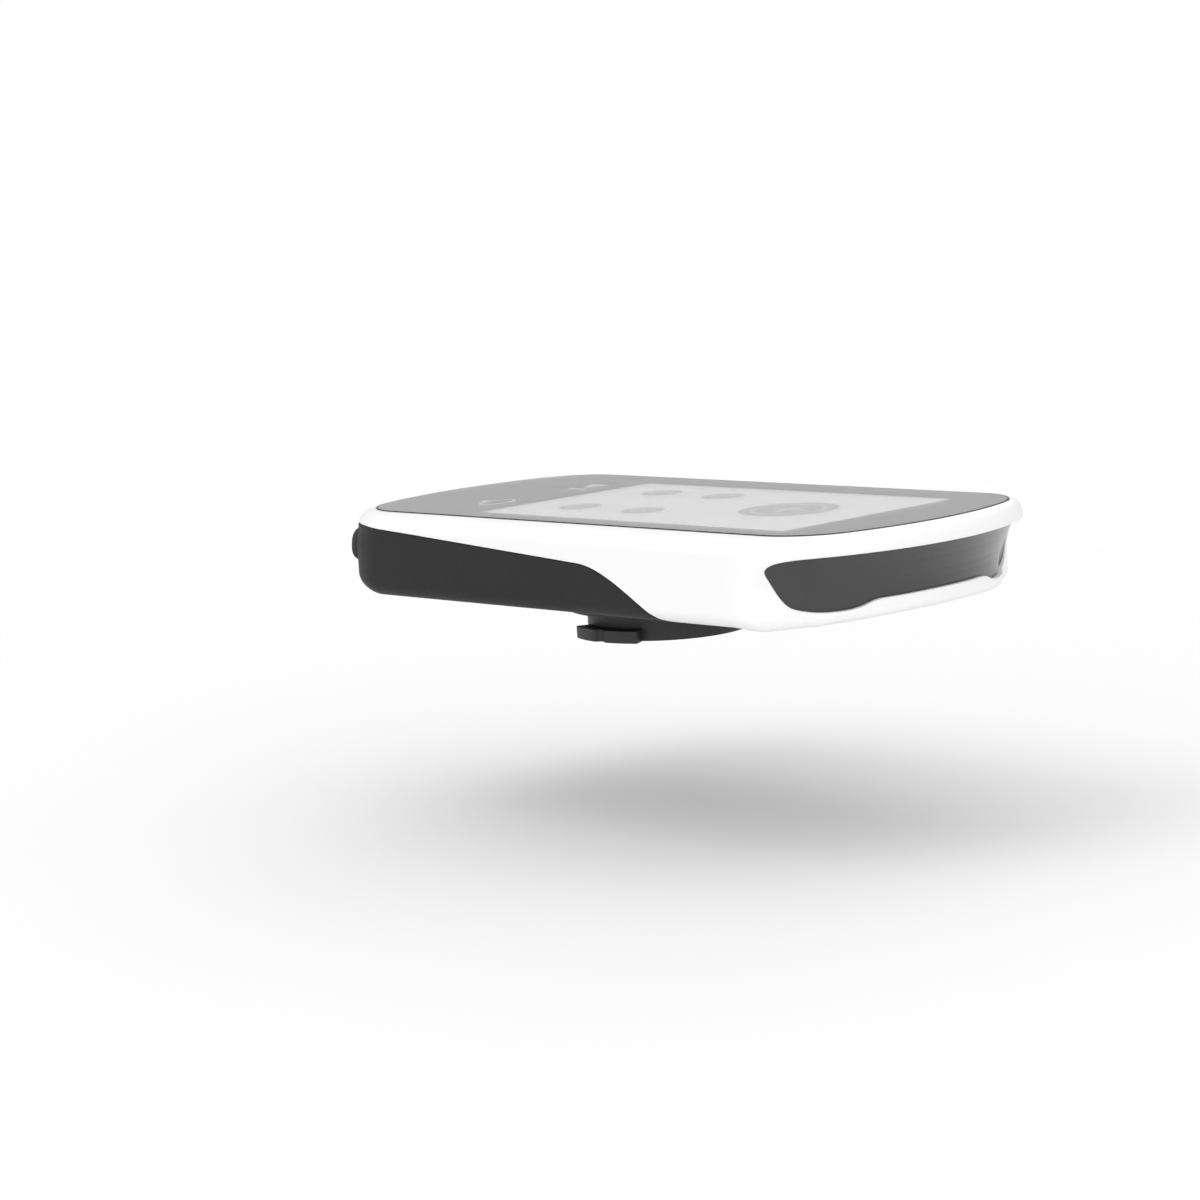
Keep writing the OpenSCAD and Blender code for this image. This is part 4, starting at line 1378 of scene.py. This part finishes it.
@dataclass(frozen=True)
class BoardFinish:
    """Circuit board: solder mask with copper traces and small pads."""

    name: str = "circuit board"

    def build(self, effects: Effects) -> bpy.types.Material:
        """Makes the material from the shared node groups."""
        mat, g, shader = start_material(self.name)
        place = g.node("ShaderNodeTexCoord").outputs["Object"]
        brick = g.node("ShaderNodeTexBrick", Vector=place, Scale=420.0, Mortar_Size=0.035,
                       Color1=grey(0.0), Color2=grey(0.0), Mortar=grey(1.0))
        cells = g.node("ShaderNodeTexVoronoi", Vector=place, Scale=900.0)
        pads = g.math("LESS_THAN", cells.outputs["Distance"], 0.16)
        grain = g.group(effects.grain, Vector=place, Scale=3000.0, Coarse=200.0)
        base = g.mix(grain.outputs["Mottle"], (0.008, 0.07, 0.03, 1), (0.012, 0.1, 0.045, 1))
        base = g.mix(brick.outputs["Fac"], base, (0.03, 0.2, 0.08, 1))
        g.tree.links.new(g.mix(pads, base, (0.8, 0.6, 0.3, 1)), shader.inputs["Base Color"])
        g.tree.links.new(pads, shader.inputs["Metallic"])
        bump = g.node("ShaderNodeBump", Strength=1.0, Distance=0.00002, Height=brick.outputs["Fac"])
        g.tree.links.new(bump.outputs[0], shader.inputs["Normal"])
        shader.inputs["Roughness"].default_value = 0.35
        return mat


FINISHES: dict[str, Finish | GlassFinish | FilmFinish | PictureFinish | BoardFinish] = {
    "white_shell": Finish("white shell", grey(0.9), 0.34, grain=6500, relief=0.004, mottle=0.012,
                          marks=0.02, coat=0.15, coat_roughness=0.25),
    "black_shell": Finish("black shell", grey(0.012), 0.5, grain=3800, relief=0.05, mottle=0.1,
                          marks=0.15, specular=0.3),
    "panel_gloss": Finish("gloss panel", grey(0.03), 0.16, grain=5000, relief=0.0015, mottle=0.05,
                          marks=0.05, coat=0.3, coat_roughness=0.08),
    "cover_glass": GlassFinish(),
    "border_print": Finish("border print", grey(0.012), 0.5, grain=5000, relief=0.0003, mottle=0.1),
    "mark_print": Finish("mark print", grey(0.95), 0.5, grain=5000, relief=0.002, mottle=0.05),
    "sensor_film": FilmFinish(),
    "lcd": PictureFinish(38.9, 66.5, 6.7),
    "guide": Finish("light guide", grey(0.8), 0.2, grain=1800, relief=0.02, mottle=0.03),
    "led": Finish("light strip", (0.85, 0.8, 0.45, 1), 0.4, grain=2500, relief=0.02, mottle=0.2),
    "tray_metal": Finish("tray metal", grey(0.62), 0.32, 1.0, grain=1500, relief=0.004),
    "flex_film": Finish("flex film", (0.42, 0.19, 0.03, 1), 0.3, grain=1200, relief=0.01, mottle=0.25),
    "board": BoardFinish(),
    "can_metal": Finish("shield can", grey(0.7), 0.28, 1.0, grain=1800, relief=0.004),
    "chip": Finish("chip", grey(0.022), 0.55, grain=6000, relief=0.02, mottle=0.15),
    "ceramic": Finish("antenna ceramic", (0.55, 0.43, 0.3, 1), 0.5, grain=3000, relief=0.02, mottle=0.12),
    "cell_foil": Finish("cell foil", grey(0.66), 0.3, 1.0, grain=500, relief=0.02, mottle=0.08),
    "foam": Finish("foam", grey(0.03), 0.9, grain=1600, relief=0.25, mottle=0.3, specular=0.2),
    "wire": Finish("wire", (0.4, 0.03, 0.03, 1), 0.45, grain=2600, relief=0.02),
    "black_part": Finish("black part", grey(0.02), 0.5, grain=3500, relief=0.03, mottle=0.12),
    "sensor_metal": Finish("sensor metal", grey(0.6), 0.3, 1.0, grain=2500, relief=0.004),
    "membrane": Finish("vent membrane", grey(0.75), 0.8, grain=5000, relief=0.06, mottle=0.06),
    "socket_metal": Finish("socket metal", grey(0.58), 0.25, 1.0, grain=1500, relief=0.004),
    "cap_rubber": Finish("cap rubber", grey(0.022), 0.62, grain=3400, relief=0.06, mottle=0.12,
                         specular=0.35),
    "seal_rubber": Finish("seal rubber", grey(0.03), 0.7, grain=3000, relief=0.05, mottle=0.12, specular=0.3),
    "screw_steel": Finish("screw steel", grey(0.55), 0.24, 1.0, grain=900, relief=0.003, mottle=0.1),
    "boss_plastic": Finish("boss plastic", grey(0.02), 0.45, grain=4200, relief=0.02, mottle=0.1, marks=0.2),
    "key_rubber": Finish("button rubber", grey(0.022), 0.55, grain=4600, relief=0.03, mottle=0.1,
                         specular=0.4),
    "dome": Finish("dome metal", (0.75, 0.62, 0.35, 1), 0.25, 1.0, grain=1500, relief=0.004),
}


class Paints:
    """Makes each finish once and gives it out by name."""

    def __init__(self) -> None:
        """Builds the shared node groups."""
        self.effects = Effects()
        self.made: dict[str, bpy.types.Material] = {}

    def get(self, name: str) -> bpy.types.Material:
        """The material of a finish."""
        if name not in self.made:
            self.made[name] = FINISHES[name].build(self.effects)
        return self.made[name]


@dataclass
class Studio:
    """Camera, soft lights, pale floor and white surroundings."""

    place: tuple[float, float, float] = (0.34873, 0.35317, 0.0777)
    lens: float = 96.09
    floor_z: float = -0.03
    floor_half: float = 1.0

    def camera(self) -> None:
        """Makes the camera."""
        data = bpy.data.cameras.new("camera")
        data.lens, data.sensor_width, data.sensor_fit = self.lens, 36.0, "HORIZONTAL"
        data.clip_start, data.clip_end = 0.01, 20
        obj = bpy.data.objects.new("camera", data)
        right, up = (-0.71877, 0.6925, -0.06177), (-0.14474, -0.06215, 0.98752)
        back = (0.68001, 0.71874, 0.1449)
        turn = Matrix((right, up, back)).transposed().to_4x4()
        obj.matrix_world = Matrix.Translation(self.place) @ turn
        bpy.context.scene.collection.objects.link(obj)
        bpy.context.scene.camera = obj

    def light(self, name: str, place: Sequence[float], size: float, power: float) -> None:
        """Adds a soft square light aimed at the part."""
        data = bpy.data.lights.new(name, "AREA")
        data.size, data.energy = size, power
        obj = bpy.data.objects.new(name, data)
        obj.location = place
        obj.rotation_mode = "QUATERNION"
        obj.rotation_quaternion = (Vector((0, 0, 0.01)) - Vector(place)).to_track_quat("-Z", "Y")
        bpy.context.scene.collection.objects.link(obj)

    def surroundings(self) -> None:
        """White surroundings, brighter straight behind the part than overhead."""
        world = bpy.data.worlds.new("surroundings")
        bpy.context.scene.world = world
        world.use_nodes = True
        g = Graph(world.node_tree)
        seen = g.node("ShaderNodeLightPath").outputs["Is Camera Ray"]
        way = g.node("ShaderNodeTexCoord").outputs["Generated"]
        facing = g.node("ShaderNodeVectorMath", {"operation": "DOT_PRODUCT"},
                        in_0=way, in_1=(0.55, 0.6, 0.58))
        share = g.math("MULTIPLY_ADD", facing.outputs["Value"], 0.5, 0.5)
        dome = g.mix(share, grey(0.52), grey(1.05))
        back = world.node_tree.nodes["Background"]
        g.tree.links.new(g.mix(seen, dome, grey(1.0)), back.inputs["Color"])

    def floor(self) -> None:
        """Pale floor, clear from below and fading out into the white surroundings."""
        mesh = bpy.data.meshes.new("floor")
        s, z = self.floor_half, self.floor_z
        mesh.from_pydata([(-s, -s, z), (s, -s, z), (s, s, z), (-s, s, z)], [], [[0, 1, 2, 3]])
        obj = bpy.data.objects.new("floor", mesh)
        bpy.context.scene.collection.objects.link(obj)
        mat, g, shader = start_material("pale floor")
        shader.inputs["Base Color"].default_value = grey(0.9)
        shader.inputs["Roughness"].default_value = 0.9
        clear = g.node("ShaderNodeBsdfTransparent")
        behind = g.node("ShaderNodeNewGeometry").outputs["Backfacing"]
        away = g.node("ShaderNodeVectorMath", {"operation": "LENGTH"},
                      in_0=g.node("ShaderNodeTexCoord").outputs["Object"])
        fade = g.node("ShaderNodeMapRange", {"interpolation_type": "SMOOTHSTEP"}, Value=away.outputs["Value"],
                      From_Min=0.12, From_Max=0.6)
        both = g.node("ShaderNodeMixShader", in_0=g.math("MAXIMUM", behind, fade.outputs[0]),
                      in_1=shader.outputs[0], in_2=clear.outputs[0])
        g.tree.links.new(both.outputs[0], mat.node_tree.nodes["Material Output"].inputs["Surface"])
        mesh.materials.append(mat)

    def build(self) -> None:
        """Sets everything up."""
        self.camera()
        self.light("key", (0.9, -0.3, 1.3), 0.9, 5.0)
        self.light("fill", (0.5, 1.4, 0.6), 1.0, 3.0)
        self.light("rim", (-1.1, -0.5, 0.8), 0.8, 2.0)
        self.surroundings()
        self.floor()
        bpy.context.scene.view_settings.view_transform = "Standard"


@dataclass
class Assembly:
    """Dresses each piece, ties it to its body and hides the nodes that it stands for."""

    paints: Paints

    def add(self, piece: bpy.types.Object, finish: str, body: Body, nodes: Sequence[str] = (),
            slot: str | None = None) -> None:
        """Dresses a new piece and lets it ride on its body.

        Args:
            piece: The piece.
            finish: Name of its finish.
            body: The body that it rides on.
            nodes: Nodes of the part that it stands for.
            slot: Material slot in the record, if its name isn't the finish's. Not used.
        """
        piece.data.materials.clear()
        piece.data.materials.append(self.paints.get(finish))
        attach(piece, body.value)
        if nodes:
            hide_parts(*nodes)
        LOG.info("%s: %d faces, %s, on %s", piece.name, len(piece.data.polygons), finish, body.value)

    def dress(self, node: str, finish: str) -> None:
        """Dresses a node of the part that shows as it is."""
        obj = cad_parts[node]
        obj.data.materials.clear()
        obj.data.materials.append(self.paints.get(finish))
        LOG.info("%s: %s", node, finish)


INSIDE = {
    "touch_sensor": "sensor_film", "display_cell": "lcd", "light_guide": "guide", "light_strip": "led",
    "display_tray": "tray_metal", "display_flex": "flex_film", "main_board": "board",
    "shield_cans": "can_metal", "board_chips": "chip", "patch_antenna": "ceramic",
    "radio_antenna": "flex_film", "battery_cell": "cell_foil",
    "battery_pad": "foam", "battery_lead": "wire", "beeper": "black_part", "pressure_sensor": "sensor_metal",
    "vent_membrane": "membrane", "light_sensor": "chip", "port_board": "board", "casing_seal": "seal_rubber",
    "button_seals": "seal_rubber", "dome_switches": "dome", "switch_boards": "board",
}


def main() -> None:
    """Builds the whole model."""
    logging.basicConfig(level=logging.INFO, format="%(message)s")
    Studio().build()
    paints = Paints()
    assembly = Assembly(paints)
    form = BodyForm()
    casing = Casing(form)
    assembly.add(casing.bezel(), "white_shell", Body.CASING, ["front_bezel"])
    assembly.add(casing.housing(), "black_shell", Body.CASING, ["rear_housing"])
    assembly.add(casing.pocket(), "black_shell", Body.CASING)
    assembly.add(casing.panel(), "panel_gloss", Body.CASING, ["front_panel"])
    for place in casing.keys():
        assembly.add(casing.key(place), "key_rubber", place.body, [place.node])
    face = Front(form)
    assembly.add(face.glass(), "cover_glass", Body.CASING, ["touch_glass"])
    assembly.add(face.border(), "border_print", Body.CASING, ["glass_adhesive"], "adhesive")
    assembly.add(face.marks(), "mark_print", Body.CASING, slot="adhesive")
    cap = WeatherCap(casing)
    assembly.add(cap.flap(), "cap_rubber", Body.CAP, ["weather_cap"])
    assembly.add(cap.anchor(), "cap_rubber", Body.CASING, ["cap_anchor"])
    web = cap.web()
    web.data.materials.append(paints.get("cap_rubber"))
    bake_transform(web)
    assembly.add(softened_copy("quarter_turn_boss", "quarter_turn_boss_body", 0.16), "boss_plastic",
                 Body.CASING, ["quarter_turn_boss"])
    for node, finish in (("usb_receptacle", "socket_metal"), ("card_socket", "socket_metal")):
        assembly.add(softened_copy(node, node + "_shell", 0.06, 1), finish, Body.CASING, [node])
    spots = Spots()
    ring_r, boss_z, posts_z = 0.0086, 0.0004, 0.0067
    boss = [(ring_r * math.cos(a), ring_r * math.sin(a), boss_z) for a in np.radians([45, 135, 225, 315])]
    steel = paints.get("screw_steel")
    screw = SocketScrew(1.9, 1.4, 1.0, 0.8, 0.75, 4.8).shape()
    assembly.add(spots.copy_onto("boss_cap_screws", screw, boss, steel, 3), "screw_steel",
                 Body.CASING, ["boss_screws"])
    posts = [(x * MM, (y + MID_Y) * MM, posts_z) for x in casing.screw_x for y in casing.screw_y]
    screw = SocketScrew(1.35, 0.9, 0.7, 0.55, 0.8, 3.9).shape()
    assembly.add(spots.copy_onto("casing_cap_screws", screw, posts, steel, 7), "screw_steel",
                 Body.CASING, ["casing_screws"])
    for node, finish in INSIDE.items():
        assembly.dress(node, finish)


if __name__ == "__main__":
    main()
